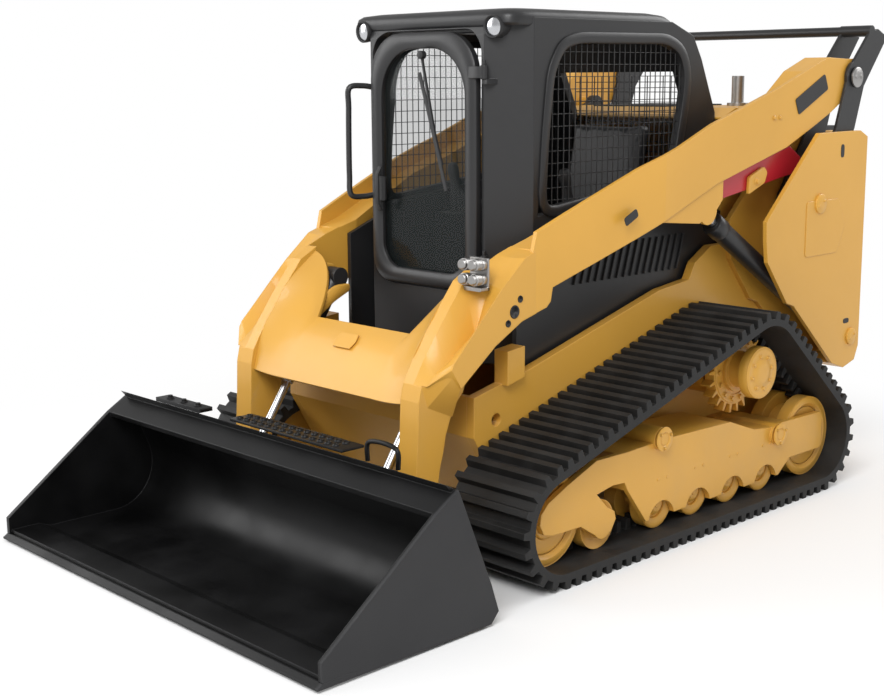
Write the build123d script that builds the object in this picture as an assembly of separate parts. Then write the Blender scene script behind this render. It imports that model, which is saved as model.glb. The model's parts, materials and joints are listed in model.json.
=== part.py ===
from build123d import *
import os
from math import asin, atan2, cos, degrees, hypot, pi, radians, sin, sqrt

# A compact track loader: a skid-steered chassis on two rubber tracks, a closed cab, and a
# vertical-lift loader linkage that carries a bucket on a quick coupler. Sizes are millimetres.
# +X is the machine's left, its front faces -Y, +Z is up, and the ground is Z = 0.
# A point written (y, z) lies in the side view.

# Driving sizes: tracks
BELT_WIDTH = 400.0
BELT_THICKNESS = 28.0
LUG_HEIGHT = 32.0
LUG_LENGTH = 30.0
LUG_PITCH = 58.73
LUG_COUNT = 82
DRIVE_LUG_HEIGHT = 42.0
DRIVE_LUG_LENGTH = 24.0
DRIVE_LUG_WIDTH = 60.0
SPROCKET_TEETH = 22
IDLER_RADIUS = 180.0
REAR_IDLER_Y = 1100.0
SPROCKET_Y = 640.0
SPROCKET_RISE = 368.0
ROLLER_RADIUS = 98.0
FIRST_ROLLER_Y = 10.0
ROLLER_SPACING = 245.0
ROLLER_COUNT = 4

# Driving sizes: chassis, from the cab outwards
CAB_HALF_WIDTH = 470.0
SIDE_PANEL_X = CAB_HALF_WIDTH + 14.0
FRONT_LINK_INNER_X = CAB_HALF_WIDTH + 45.0
FRAME_HALF_WIDTH = CAB_HALF_WIDTH + 90.0
TRACK_GAP = 5.5
RAIL_THICKNESS = 40.0
RAIL_FRONT_Y = -720.0
FLOOR_THICKNESS = 24.0
GROUND_CLEARANCE = 226.0
SIDE_PANEL_THICKNESS = 20.0
TOWER_INNER_X = FRAME_HALF_WIDTH
TOWER_OUTER_X = TOWER_INNER_X + 215.0
TOWER_INNER_PLATE = 25.0
TOWER_OUTER_PLATE = 20.0

# Driving sizes: loader linkage
ARM_INNER_X = FRAME_HALF_WIDTH + 50.0
ARM_WIDTH = 120.0
ARM_RAIL = 18.0
ARM_RECESS = 78.0
KNEE_INNER_X = CAB_HALF_WIDTH + 42.0
KNEE_VALLEY_X = KNEE_INNER_X + 63.0
KNEE_OUTER_X = KNEE_INNER_X + 133.0
LEG_INNER_X = CAB_HALF_WIDTH - 13.0
LEG_OUTER_X = LEG_INNER_X + 99.0
LINK_PLATE = 14.0
LINK_GAP = 5.0
ARM_PIN = (1580.0, 1830.0)
LINK_PIN = (1280.0, 1270.0)
CROSS_TUBE = (1710.0, 2040.0)
FRONT_LINK_FOOT = (-10.0, 1160.0)
FRONT_LINK_HEAD = (1250.0, 1700.0)
FRONT_LINK_WIDTH = 35.0
LIFT_FOOT = (1600.0, 620.0)
LIFT_HEAD = (500.0, 1290.0)
LIFT_X = ARM_INNER_X + ARM_WIDTH / 2
LIFT_BARREL_RADIUS = 45.0
LIFT_ROD_RADIUS = 25.0
BUCKET_PIN = (-980.0, 235.0)
TILT_FOOT = (-600.0, 1020.0)
TILT_HEAD = (-1032.0, 365.0)
TILT_X = LEG_INNER_X - 72.0
TILT_BARREL_RADIUS = 36.0
TILT_SLEEVE_RADIUS = 27.0
TILT_ROD_RADIUS = 18.0
TILT_EAR_GAP = 42.0

# Driving sizes: bucket
BUCKET_OVERHANG = 52.5
BUCKET_WALL = 14.0
HEEL_RADIUS = 190.0
SIDE_WALL = 20.0
CUTTING_EDGE_Y = -1855.0
CUTTING_EDGE_THICKNESS = 20.0
CUTTING_EDGE_DEPTH = 150.0
BUCKET_FLOOR_Z = 10.0

# Driving sizes: cab
CAB_WALL = 40.0
CAB_FLOOR_Z = 1000.0
CAB_FRONT_Y = -430.0
CAB_BACK_Y = 883.0
ROOF_Z = 2107.0
ROOF_THICKNESS = 42.0
DOOR_THICKNESS = 30.0
GUARD_THICKNESS = 5.0
GLASS_THICKNESS = 6.0

# Driving sizes: engine bay
HOOD_TOP_Z = 1700.0
HOOD_HALF_WIDTH = CAB_HALF_WIDTH + 30.0
REAR_DOOR_Y = 1745.0
REAR_DOOR_DEPTH = 110.0
STACK_RADIUS = 29.0

# Driving sizes: front lamps
LAMP_X = CAB_HALF_WIDTH - 97.0
LAMP_Y = -412.0
LAMP_Z = 2033.0
LAMP_RADIUS = 42.0
LAMP_DEPTH = 60.0

# Named clearances
BELT_GAP = 0.5
RUN_GAP = 0.3
MOVING_GAP = 6.0

BELT_INNER_X = FRAME_HALF_WIDTH + TRACK_GAP
BELT_OUTER_X = BELT_INNER_X + BELT_WIDTH
BUCKET_WIDTH = 2 * (BELT_OUTER_X + BUCKET_OVERHANG)
WHEEL_X = BELT_INNER_X + BELT_WIDTH / 2
WHEEL_CENTRE_Z = IDLER_RADIUS + BELT_THICKNESS + LUG_HEIGHT
BELT_TOP_Z = BELT_THICKNESS + LUG_HEIGHT
SPROCKET_Z = WHEEL_CENTRE_Z + SPROCKET_RISE
SPROCKET_RADIUS = SPROCKET_TEETH * LUG_PITCH / (2 * pi)
ARM_OUTER_X = ARM_INNER_X + ARM_WIDTH


def side_plate(points, x_near, x_far):
    """A plate standing in the side view: the outline (y, z) drawn out from x_near to x_far."""
    face = make_face(Polyline(*points, close=True))
    return extrude(Plane.YZ.offset(x_near) * face, amount=x_far - x_near)


def rod_x(centre, radius, x_near, x_far):
    """A round bar along X about the point (y, z)."""
    y, z = centre
    disc = Plane.YZ.offset(x_near) * Pos(y, z) * Circle(radius)
    return extrude(disc, amount=x_far - x_near)


def block(x_span, y_span, z_span):
    """A box between pairs of limits."""
    sizes = [high - low for low, high in (x_span, y_span, z_span)]
    centre = [(high + low) / 2 for low, high in (x_span, y_span, z_span)]
    return Pos(*centre) * Box(*sizes)


def bar_between(start, end, radius, x):
    """A round bar in the side view from one (y, z) point to another, at x."""
    (y0, z0), (y1, z1) = start, end
    length = hypot(y1 - y0, z1 - z0)
    plane = Plane(origin=(x, y0, z0), z_dir=(0, (y1 - y0) / length, (z1 - z0) / length))
    return extrude(plane * Circle(radius), amount=length)


def along(start, end, distance):
    """The (y, z) point that lies a distance from start towards end."""
    (y0, z0), (y1, z1) = start, end
    length = hypot(y1 - y0, z1 - z0)
    return (y0 + (y1 - y0) * distance / length, z0 + (z1 - z0) * distance / length)


def between_sections(*sections):
    """A solid through outlines (y, z) that stand at their own X, corner to corner."""
    faces = [Plane.YZ.offset(x) * make_face(Polyline(*points, close=True)) for x, points in sections]
    return loft(faces, ruled=True)


def mirrored(part):
    """The right-hand twin of a left-hand part."""
    return mirror(part, about=Plane.YZ)





# The belt's inner line runs round three wheels: front idler, rear idler and sprocket.
def loop_runs(front_y):
    """Straight runs and arcs of the belt's inner line, in order, the way the wheels turn."""
    wheels = [
        (front_y, WHEEL_CENTRE_Z, IDLER_RADIUS),
        (REAR_IDLER_Y, WHEEL_CENTRE_Z, IDLER_RADIUS),
        (SPROCKET_Y, SPROCKET_Z, SPROCKET_RADIUS),
    ]
    normals = []
    for index, (y0, z0, r0) in enumerate(wheels):
        y1, z1, r1 = wheels[(index + 1) % len(wheels)]
        heading = atan2(z1 - z0, y1 - y0)
        normals.append(heading - pi / 2 + asin((r0 - r1) / hypot(y1 - y0, z1 - z0)))
    runs = []
    for index, (y0, z0, r0) in enumerate(wheels):
        after = (index + 1) % len(wheels)
        y1, z1, r1 = wheels[after]
        n = normals[index]
        start = (y0 + r0 * cos(n), z0 + r0 * sin(n))
        end = (y1 + r1 * cos(n), z1 + r1 * sin(n))
        runs.append(("line", hypot(end[0] - start[0], end[1] - start[1]), start, n, 0.0))
        turn = (normals[after] - n) % (2 * pi)
        runs.append(("arc", r1 * turn, (y1, z1), n, r1))
    return runs


def loop_length(front_y):
    return sum(run[1] for run in loop_runs(front_y))


def taut_idler_y():
    """Where the tensioner holds the front idler, so that the loop is a whole number of pitches."""
    near, far = REAR_IDLER_Y - 2600.0, REAR_IDLER_Y - 1200.0
    for _ in range(60):
        middle = (near + far) / 2
        if loop_length(middle) > LUG_COUNT * LUG_PITCH:
            near = middle
        else:
            far = middle
    return (near + far) / 2


FRONT_IDLER_Y = taut_idler_y()
LOOP = loop_runs(FRONT_IDLER_Y)
FRONT_IDLER = (FRONT_IDLER_Y, WHEEL_CENTRE_Z)
REAR_IDLER = (REAR_IDLER_Y, WHEEL_CENTRE_Z)
SPROCKET = (SPROCKET_Y, SPROCKET_Z)


def loop_point(distance):
    """Point, outward angle and arc radius of the inner line at a distance along the loop."""
    distance %= LUG_COUNT * LUG_PITCH
    for kind, length, start, n, radius in LOOP:
        if distance <= length:
            if kind == "line":
                return (start[0] - distance * sin(n), start[1] + distance * cos(n)), n, 0.0
            angle = n + distance / radius
            point = (start[0] + radius * cos(angle), start[1] + radius * sin(angle))
            return point, angle, radius
        distance -= length
    return loop_point(0.0)


def loop_face(offset):
    """The area inside the loop line moved outward by an offset."""
    edges = []
    for kind, length, start, n, radius in LOOP:
        out = Vector(cos(n), sin(n)) * offset
        if kind == "line":
            first = Vector(*start) + out
            edges.append(Line(first, first + Vector(-sin(n), cos(n)) * length))
        else:
            sweep = degrees(length / radius)
            edges.append(CenterArc(start, radius + offset, degrees(n), sweep))
    return make_face(Wire(edges))


def lug_outline(distance, low, high, foot, tip):
    """Four corners of a lug between two heights over the inner line, foot and tip long."""
    (y, z), n, radius = loop_point(distance)
    reach = radius + high
    sag = reach - sqrt(reach**2 - (tip / 2) ** 2) if radius and high > low > 0 else 0.0
    corners = []
    for height, half in ((low, -foot / 2), (high - sag, -tip / 2), (high - sag, tip / 2), (low, foot / 2)):
        corners.append((y + height * cos(n) - half * sin(n), z + height * sin(n) + half * cos(n)))
    return corners


def track():
    """The rubber belt with its tread bars outside and its drive lugs inside."""
    belt = loop_face(BELT_THICKNESS) - loop_face(0.0)
    bars = []
    for index in range(LUG_COUNT):
        low, high = BELT_THICKNESS - 4.0, BELT_THICKNESS + LUG_HEIGHT
        corners = lug_outline(index * LUG_PITCH, low, high, LUG_LENGTH + 6.0, LUG_LENGTH - 6.0)
        bars.append(make_face(Polyline(*corners, close=True)))
    tread = belt + bars
    body = extrude(Plane.YZ.offset(BELT_INNER_X) * tread, amount=BELT_WIDTH)
    drive = []
    for index in range(LUG_COUNT):
        middle = (index + 0.5) * LUG_PITCH
        corners = lug_outline(middle, 2.0, -DRIVE_LUG_HEIGHT, DRIVE_LUG_LENGTH + 8.0, DRIVE_LUG_LENGTH - 6.0)
        drive.append(side_plate(corners, WHEEL_X - DRIVE_LUG_WIDTH / 2, WHEEL_X + DRIVE_LUG_WIDTH / 2))
    return body + drive


WHEEL_HALF_WIDTH = 95.0
AXLE_RADIUS = 30.0
ROLLER_HUB = 34.0


def turned(profile, centre):
    """A wheel about an X axis through (y, z): the profile lists (x, radius) pairs."""
    y, z = centre
    points = [(x, radius) for x, radius in profile]
    face = make_face(Polyline(*points, close=True))
    plane = Plane(origin=(0, y, z), x_dir=(1, 0, 0), z_dir=(0, -1, 0))
    return revolve(plane * face, axis=Axis((0, y, z), (1, 0, 0)))


def idler(centre):
    """A twin-rim idler whose groove clears the drive lugs."""
    rim = IDLER_RADIUS - BELT_GAP
    groove = DRIVE_LUG_WIDTH / 2 + 8.0
    profile = [
        (WHEEL_X - WHEEL_HALF_WIDTH, rim), (WHEEL_X - groove, rim),
        (WHEEL_X - groove, rim - DRIVE_LUG_HEIGHT - 12.0), (WHEEL_X + groove, rim - DRIVE_LUG_HEIGHT - 12.0),
        (WHEEL_X + groove, rim), (WHEEL_X + WHEEL_HALF_WIDTH, rim), (WHEEL_X + 60.0, rim - 34.0),
        (WHEEL_X + 60.0, AXLE_RADIUS + RUN_GAP),
        (WHEEL_X - WHEEL_HALF_WIDTH, AXLE_RADIUS + RUN_GAP),
    ]
    return turned(profile, centre)


def roller(centre):
    """A twin-rim track roller on its axle."""
    groove = DRIVE_LUG_WIDTH / 2 + 8.0
    profile = [
        (WHEEL_X - WHEEL_HALF_WIDTH, 0.0), (WHEEL_X - WHEEL_HALF_WIDTH, ROLLER_RADIUS),
        (WHEEL_X - groove, ROLLER_RADIUS), (WHEEL_X - groove, ROLLER_HUB), (WHEEL_X + groove, ROLLER_HUB),
        (WHEEL_X + groove, ROLLER_RADIUS), (WHEEL_X + WHEEL_HALF_WIDTH, ROLLER_RADIUS),
        (WHEEL_X + 76.0, ROLLER_HUB + 30.0), (WHEEL_X + 76.0, 0.0),
    ]
    return turned(profile, centre)


ROLLER_Z = BELT_TOP_Z + ROLLER_RADIUS + BELT_GAP
ROLLER_CENTRES = [(FIRST_ROLLER_Y + index * ROLLER_SPACING, ROLLER_Z) for index in range(ROLLER_COUNT)]
NOSE_ROLLER = (-355.0, ROLLER_Z)
AXLE_CAPS = [(-15.0, 440.0), (812.0, 307.0)]
SCALLOP_TOP = 178.0
SCALLOP_RADIUS = 85.0


FORK_X = WHEEL_X + WHEEL_HALF_WIDTH + 5.0
FORK_PLATE = 24.0
BEAM_TOP = [(-213, 421), (38, 429), (469, 419), (645, 355), (756, 342)]


def undercarriage():
    """The track frame: a beam over its rollers, an outer plate with scallops, and forks."""
    x_near = BELT_INNER_X + 60.0
    beam_low = ROLLER_Z + ROLLER_RADIUS + MOVING_GAP
    beam_end = REAR_IDLER_Y - IDLER_RADIUS - MOVING_GAP
    beam = side_plate([*BEAM_TOP, (beam_end, 344), (beam_end, beam_low), (-209, beam_low)], x_near, FORK_X)
    axles = []
    for centre in ROLLER_CENTRES:
        axles.append(rod_x(centre, AXLE_RADIUS, WHEEL_X + 76.0 + RUN_GAP, FORK_X))
    skirt = side_plate(
        [
            *BEAM_TOP, (872, 348), (1171, 343), (1188, 325), (1188, 190), (1175, 176), (931, 176),
            (ROLLER_CENTRES[-1][0] + 100, 114), (ROLLER_CENTRES[0][0] - 100, 114), (-209, 267),
        ],
        FORK_X, FORK_X + FORK_PLATE,
    )
    for y, _ in ROLLER_CENTRES:
        skirt -= rod_x((y, SCALLOP_TOP - SCALLOP_RADIUS), SCALLOP_RADIUS, FORK_X - 10.0, FORK_X + 40.0)
    nose = side_plate(
        [
            (-213, 421), (-397, 423), (-560, 362), (-667, 315), (-705, 280), (-712, 240), (-690, 200),
            (-640, 186), (-485, 184), (-400, 130), (-350, 112), (-305, 128), (-279, 170), (-288, 202),
            (-330, 225), (-394, 290), (-300, 306), (-209, 301),
        ],
        FORK_X, FORK_X + FORK_PLATE,
    )
    nose += rod_x(NOSE_ROLLER, 52.0, FORK_X, FORK_X + FORK_PLATE)
    x_cap = FORK_X + FORK_PLATE
    for centre in AXLE_CAPS:
        skirt += rod_x(centre, 46.0, x_near, x_cap + 12.0)
        skirt += rod_x(centre, 24.0, x_near, x_cap + 26.0)
    pins = [
        rod_x(FRONT_IDLER, AXLE_RADIUS, WHEEL_X - 110.0, x_cap),
        rod_x(REAR_IDLER, AXLE_RADIUS, WHEEL_X - 110.0, x_cap),
        rod_x(NOSE_ROLLER, AXLE_RADIUS, WHEEL_X + WHEEL_HALF_WIDTH + RUN_GAP, x_cap),
    ]
    web = side_plate([(-249, 417), (-213, 421), (-209, 267), (-228, 301)], x_near, x_cap)
    heel = block((FORK_X - 20.0, x_cap), (872.0, 905.0), (240.0, 342.0))
    body = beam + skirt + nose + web + heel + pins + axles
    for y_span, z_span in (((-120.0, 120.0), (300.0, 400.0)), ((760.0, 900.0), (240.0, 340.0))):
        body += block((FRAME_HALF_WIDTH, BELT_INNER_X + 80.0), y_span, z_span)
    return body


SPROCKET_WIDTH = 48.0
MOTOR_RADIUS = 96.0


def sprocket():
    """The toothed drive wheel: its teeth stand in the gaps between the belt's drive lugs."""
    y, z = SPROCKET
    root = SPROCKET_RADIUS - DRIVE_LUG_HEIGHT - 8.0
    tip = SPROCKET_RADIUS - 14.0
    start = sum(run[1] for run in LOOP[:3])
    first = LUG_PITCH * int(start / LUG_PITCH + 1)
    zero = loop_point(first)[1]
    half = SPROCKET_WIDTH / 2
    wheel = rod_x(SPROCKET, root, WHEEL_X - half, WHEEL_X + half)
    teeth = []
    for index in range(SPROCKET_TEETH):
        angle = zero + 2 * pi * index / SPROCKET_TEETH
        corners = []
        for radius, side in ((root - 6.0, -10.0), (tip, -4.0), (tip, 4.0), (root - 6.0, 10.0)):
            corners.append((y + radius * cos(angle) - side * sin(angle), z + radius * sin(angle) + side * cos(angle)))
        teeth.append(side_plate(corners, WHEEL_X - half, WHEEL_X + half))
    wheel = wheel + teeth
    return wheel - rod_x(SPROCKET, MOTOR_RADIUS + RUN_GAP, WHEEL_X - half - 5.0, WHEEL_X + half + 5.0)


def travel_motor():
    """The drive motor: a barrel through the sprocket's bore, with a round cover on a neck outside it."""
    body = rod_x(SPROCKET, MOTOR_RADIUS, FRAME_HALF_WIDTH, WHEEL_X + 40.0)
    body += rod_x(SPROCKET, MOTOR_RADIUS + 29.0, FRAME_HALF_WIDTH, WHEEL_X - 60.0)
    body += rod_x(SPROCKET, MOTOR_RADIUS - 18.0, WHEEL_X, BELT_OUTER_X - 60.0)
    return body + rod_x(SPROCKET, MOTOR_RADIUS + 14.0, BELT_OUTER_X - 85.0, BELT_OUTER_X - 45.0)


# Chassis
RAIL_INNER_X = FRAME_HALF_WIDTH - RAIL_THICKNESS
FLOOR_Z = GROUND_CLEARANCE + FLOOR_THICKNESS


def side_frame():
    """The chassis side: one plate from the belly to the rail that runs up to the tower foot."""
    outline = [
        (RAIL_FRONT_Y, 506), (RAIL_FRONT_Y, 663), (-416, 728), (400, 950), (604, 974), (644, 1044),
        (759, 1108), (1560, 1108), (1640, 900), (1640, 480), (1500, GROUND_CLEARANCE),
        (-560, GROUND_CLEARANCE),
    ]
    plate = side_plate(outline, RAIL_INNER_X, FRAME_HALF_WIDTH)
    stop = side_plate([(-568, 690), (-568, 823), (-474, 833), (-474, 712)], RAIL_INNER_X, FRAME_HALF_WIDTH + 30.0)
    tie_hole = rod_x((-600.0, 560.0), 25.0, RAIL_INNER_X - 10.0, FRAME_HALF_WIDTH + 40.0)
    return plate + stop - tie_hole


def main_frame():
    """The belly pan with its front plate and rear cross beam."""
    inner = (-RAIL_INNER_X, RAIL_INNER_X)
    pan = block(inner, (-560.0, 1500.0), (GROUND_CLEARANCE, FLOOR_Z))
    front = side_plate([(RAIL_FRONT_Y, 506), (RAIL_FRONT_Y, 663), (RAIL_FRONT_Y + 24, 663), (RAIL_FRONT_Y + 24, 510),
                        (-545, FLOOR_Z), (-560, GROUND_CLEARANCE)], *inner)
    beam = block(inner, (1500.0, 1640.0), (GROUND_CLEARANCE + 180.0, 480.0))
    ramp = side_plate([(1490, GROUND_CLEARANCE), (1490, FLOOR_Z), (1610, 430), (1640, 480), (1640, 470),
                       (1500, GROUND_CLEARANCE)], *inner)
    return pan + front + beam + ramp


def side_panel():
    """The dark panel between the cab and the rail; it carries the front link's lower pin."""
    outline = [(-430, 740), (-430, 1180), (-250, 1250), (900, 1250), (900, 960), (400, 900), (-300, 700)]
    panel = side_plate(outline, SIDE_PANEL_X, SIDE_PANEL_X + SIDE_PANEL_THICKNESS)
    pin = rod_x(FRONT_LINK_FOOT, 25.0, SIDE_PANEL_X, FRONT_LINK_INNER_X + FRONT_LINK_WIDTH + 16.0)
    cap = rod_x(FRONT_LINK_FOOT, 38.0, FRONT_LINK_INNER_X + FRONT_LINK_WIDTH + MOVING_GAP,
                FRONT_LINK_INNER_X + FRONT_LINK_WIDTH + 16.0)
    feet = block((SIDE_PANEL_X, RAIL_INNER_X), (-300.0, -200.0), (720.0, 745.0))
    feet += block((SIDE_PANEL_X, RAIL_INNER_X), (600.0, 700.0), (940.0, 965.0))
    return panel + pin + cap + feet


TOWER_OUTLINE = [
    (858, 1218), (864, 1126), (878, 1038), (1041, 842), (1099, 822), (1448, 510), (1549, 475),
    (1647, 500), (1678, 566), (1672, 1558), (1606, 1588), (1253, 1586),
]


TOWER_BACK = [(1655, 1565), (1672, 1558), (1678, 566), (1661, 568)]
TOWER_TOE = [
    (1661, 568), (1678, 566), (1647, 500), (1549, 475), (1448, 510), (1470, 519), (1549, 492), (1636, 516),
]


def tower():
    """The rear upright: an inner and an outer plate joined along the back, with the link and lift pins."""
    inner_plate = side_plate(TOWER_OUTLINE, TOWER_INNER_X, TOWER_INNER_X + TOWER_INNER_PLATE)
    outer_plate = side_plate(TOWER_OUTLINE, TOWER_OUTER_X - TOWER_OUTER_PLATE, TOWER_OUTER_X)
    between = (TOWER_INNER_X + TOWER_INNER_PLATE, TOWER_OUTER_X - TOWER_OUTER_PLATE)
    walls = [side_plate(TOWER_BACK, *between), side_plate(TOWER_TOE, *between)]
    pins = []
    for centre, radius in ((LINK_PIN, 30.0), (LIFT_FOOT, 28.0)):
        pin = rod_x(centre, radius, TOWER_INNER_X, TOWER_OUTER_X + 8.0)
        inner_plate -= pin
        outer_plate -= pin
        pins.append(pin)
    return [inner_plate, outer_plate, *walls, *pins]


DOOR_AXIS_X = TOWER_INNER_X - 20.0
REAR_DOOR_AXIS_Y = REAR_DOOR_Y - 3.0
REAR_DOOR_HALF_WIDTH = TOWER_INNER_X - 55.0


def hinge_post():
    """The upright pin that the rear door swings on, held to the left tower by three lugs."""
    pin = Pos(DOOR_AXIS_X, REAR_DOOR_AXIS_Y, 1040.0) * Cylinder(12.0, 1080.0)
    lugs = []
    for z in (520.0, 1040.0, 1560.0):
        lugs.append(block((DOOR_AXIS_X - 14.0, TOWER_INNER_X), (1640.0, REAR_DOOR_AXIS_Y + 14.0), (z - 20.0, z + 20.0)))
    return pin + lugs


def rear_door():
    """The engine door: a tray with a deep rim, hung on the left."""
    low, high = 500.0, 1600.0
    y0, y1 = REAR_DOOR_Y, REAR_DOOR_Y + REAR_DOOR_DEPTH
    half = REAR_DOOR_HALF_WIDTH
    shell = block((-half, half), (y0, y1), (low, high))
    shell -= block((25.0 - half, half - 25.0), (y0 - 1.0, y1 - 20.0), (low + 25.0, high - 25.0))
    for index in range(6):
        z = 700.0 + index * 120.0
        shell -= block((-330.0, 330.0), (y1 - 30.0, y1 + 1.0), (z, z + 60.0))
    for z in (700.0, 1380.0):
        knuckle = Pos(DOOR_AXIS_X, REAR_DOOR_AXIS_Y, z) * Cylinder(22.0, 90.0)
        arm = block((half - 10.0, DOOR_AXIS_X), (REAR_DOOR_AXIS_Y + 4.0, REAR_DOOR_AXIS_Y + 20.0), (z - 45.0, z + 45.0))
        shell += knuckle + arm
    return shell - Pos(DOOR_AXIS_X, REAR_DOOR_AXIS_Y, 1040.0) * Cylinder(12.0 + RUN_GAP, 1300.0)


def engine_block():
    return block((-300.0, 300.0), (940.0, 1470.0), (300.0, 1350.0))


def engine_hood():
    """The cover over the engine, with a rounded rear edge and skirts down to the frame."""
    width = HOOD_HALF_WIDTH
    outline = [(900, 1112), (900, 1660), (1000, HOOD_TOP_Z), (1500, HOOD_TOP_Z), (1640, 1620), (1640, 1112)]
    inner = [(890, 1100), (890, 1648), (1002, HOOD_TOP_Z - 14), (1496, HOOD_TOP_Z - 14), (1626, 1610), (1626, 1100)]
    return side_plate(outline, -width, width) - side_plate(inner, -width + 12.0, width - 12.0)


def exhaust_stack():
    """The stack behind the cab, with a cut top."""
    x, y = 250.0, 1375.0
    tube = Pos(x, y, 1770.0) * Cylinder(STACK_RADIUS, 140.0)
    tube -= Pos(x, y, 1800.0) * Cylinder(STACK_RADIUS - 4.0, 140.0)
    return tube + Pos(x, y, 1707.0) * Cylinder(STACK_RADIUS + 20.0, 14.0)


# Cab
CAB_PROFILE = [
    (CAB_FRONT_Y, 720), (CAB_FRONT_Y, 2000), (-405, ROOF_Z - ROOF_THICKNESS), (560, ROOF_Z - ROOF_THICKNESS),
    (712, 2010), (775, 1911), (825, 1804), (CAB_BACK_Y, 1682), (CAB_BACK_Y, 1110), (700, 1000), (560, 720),
]
CAB_CAVITY = [
    (CAB_FRONT_Y + CAB_WALL, 750), (CAB_FRONT_Y + CAB_WALL, 1990), (-370, 2030), (545, 2030), (684, 1985),
    (740, 1893), (789, 1787), (CAB_BACK_Y - CAB_WALL, 1672), (CAB_BACK_Y - CAB_WALL, 1130), (670, 1030), (535, 750),
]
DOOR_HALF_WIDTH = 330.0
DOOR_SILL_Z = 1000.0
DOOR_TOP_Z = 2020.0
WINDOW = [
    (-253, 1546), (-216, 1866), (-142, 1976), (-41, 2000), (531, 2003), (674, 1911), (685, 1827), (643, 1658),
    (600, 1400), (-274, 1306),
]


def plan_limits(inset):
    """The cab's footprint with its front corners cut back."""
    half = CAB_HALF_WIDTH - inset
    flat = DOOR_HALF_WIDTH - inset * 0.4
    front = CAB_FRONT_Y + inset
    points = [(-flat, front), (flat, front), (half, front + 130.0), (half, 950.0), (-half, 950.0), (-half, front + 130.0)]
    return extrude(make_face(Polyline(*points, close=True)), amount=2300.0)


def door_outline(grow, y_near, depth):
    """The door's arched outline, larger or smaller all round by grow."""
    low, high = DOOR_SILL_Z - grow, DOOR_TOP_Z + grow
    half = DOOR_HALF_WIDTH - 20.0 + grow
    sketch = Plane.XZ.offset(-y_near) * Pos(0, (low + high) / 2) * RectangleRounded(2 * half, high - low, 90.0 + grow)
    return extrude(sketch, amount=-depth)


def cab_frame():
    """The cab's shell: closed walls with cut windows, a door opening and a rear opening."""
    outer = side_plate(CAB_PROFILE, -CAB_HALF_WIDTH, CAB_HALF_WIDTH) & plan_limits(0.0)
    half = CAB_HALF_WIDTH - CAB_WALL
    cavity = side_plate(CAB_CAVITY, -half, half) & plan_limits(CAB_WALL)
    shell = outer - cavity
    shell -= side_plate(WINDOW, -CAB_HALF_WIDTH - 10.0, CAB_HALF_WIDTH + 10.0)
    shell -= door_outline(MOVING_GAP, CAB_FRONT_Y - 10.0, CAB_WALL + 20.0)
    shell -= block((-330.0, 330.0), (700.0, 1000.0), (1330.0, 1860.0))
    for side in (-1, 1):
        shell -= Pos(side * LAMP_X, LAMP_Y - 20.0, LAMP_Z) * Rot(90, 0, 0) * Cylinder(LAMP_RADIUS + 1.0, LAMP_DEPTH + 42.0)
    return shell


def cab_roof():
    """The roof cap with its front lamps."""
    z0 = ROOF_Z - ROOF_THICKNESS
    cap = extrude(Plane.XY.offset(z0) * Pos(0, 65.0) * RectangleRounded(2 * (CAB_HALF_WIDTH - 30.0), 950.0, 60.0), amount=ROOF_THICKNESS)
    for side in (-1, 1):
        cap += Pos(side * LAMP_X, LAMP_Y, LAMP_Z) * Rot(90, 0, 0) * Cylinder(LAMP_RADIUS, LAMP_DEPTH)
    return cap


def side_guard():
    """The guard over the side window: a rim with crossing bars."""
    x0 = CAB_HALF_WIDTH
    x1 = x0 + GUARD_THICKNESS
    rim = [(y, z) for y, z in WINDOW]
    centre_y = 200.0
    centre_z = 1660.0
    grow = [(centre_y + (y - centre_y) * 1.04, centre_z + (z - centre_z) * 1.05) for y, z in rim]
    shrink = [(centre_y + (y - centre_y) * 0.95, centre_z + (z - centre_z) * 0.94) for y, z in rim]
    ring = side_plate(grow, x0, x1) - side_plate(shrink, x0 - 1.0, x1 + 1.0)
    field = side_plate(shrink, x0, x1)
    bars = []
    for index in range(7):
        y = -150.0 + index * 120.0
        bars.append(block((x0, x1), (y, y + 8.0), (1300.0, 2010.0)))
    for index in range(5):
        z = 1400.0 + index * 120.0
        bars.append(block((x0, x1), (-300.0, 700.0), (z, z + 8.0)))
    mesh = field & bars
    return ring + mesh


def rear_window():
    """The rear pane, seated in the opening behind the seat."""
    return block((-325.0, 325.0), (CAB_BACK_Y - 30.0, CAB_BACK_Y - 24.0), (1335.0, 1672.0))


def cab_door():
    """The front door: a rounded frame about a large pane, hung on the left pillar."""
    y0 = CAB_FRONT_Y - 4.0
    frame = door_outline(0.0, y0, DOOR_THICKNESS)
    frame -= door_outline(-45.0, y0 - 1.0, DOOR_THICKNESS + 2.0)
    for z in DOOR_HINGE_HEIGHTS:
        leaf = block((280.0, DOOR_HINGE[0]), (y0 - 8.0, y0), (z - 25.0, z + 25.0))
        knuckle = Pos(*DOOR_HINGE, z) * Cylinder(14.0, 50.0)
        frame += leaf + knuckle
    return frame - Pos(*DOOR_HINGE, (DOOR_SILL_Z + DOOR_TOP_Z) / 2) * Cylinder(7.0 + RUN_GAP, 1200.0)


def door_glass():
    """The pane in the door's frame."""
    return door_outline(-45.0 - RUN_GAP, CAB_FRONT_Y + 4.0, GLASS_THICKNESS)


DOOR_HINGE = (DOOR_HALF_WIDTH + 18.0, CAB_FRONT_Y - 18.0)
DOOR_HINGE_HEIGHTS = (DOOR_SILL_Z + 130.0, DOOR_TOP_Z - 160.0)


def door_hinges():
    """The pins and pillar plates that carry the door."""
    parts = []
    for z in DOOR_HINGE_HEIGHTS:
        pin = Pos(*DOOR_HINGE, z) * Cylinder(7.0, 90.0)
        plate = block((DOOR_HINGE[0] - 7.0, DOOR_HINGE[0] + 20.0), (DOOR_HINGE[1] - 5.0, -385.0), (z - 45.0, z - 26.0))
        parts.append(pin + plate)
    return parts


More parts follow.
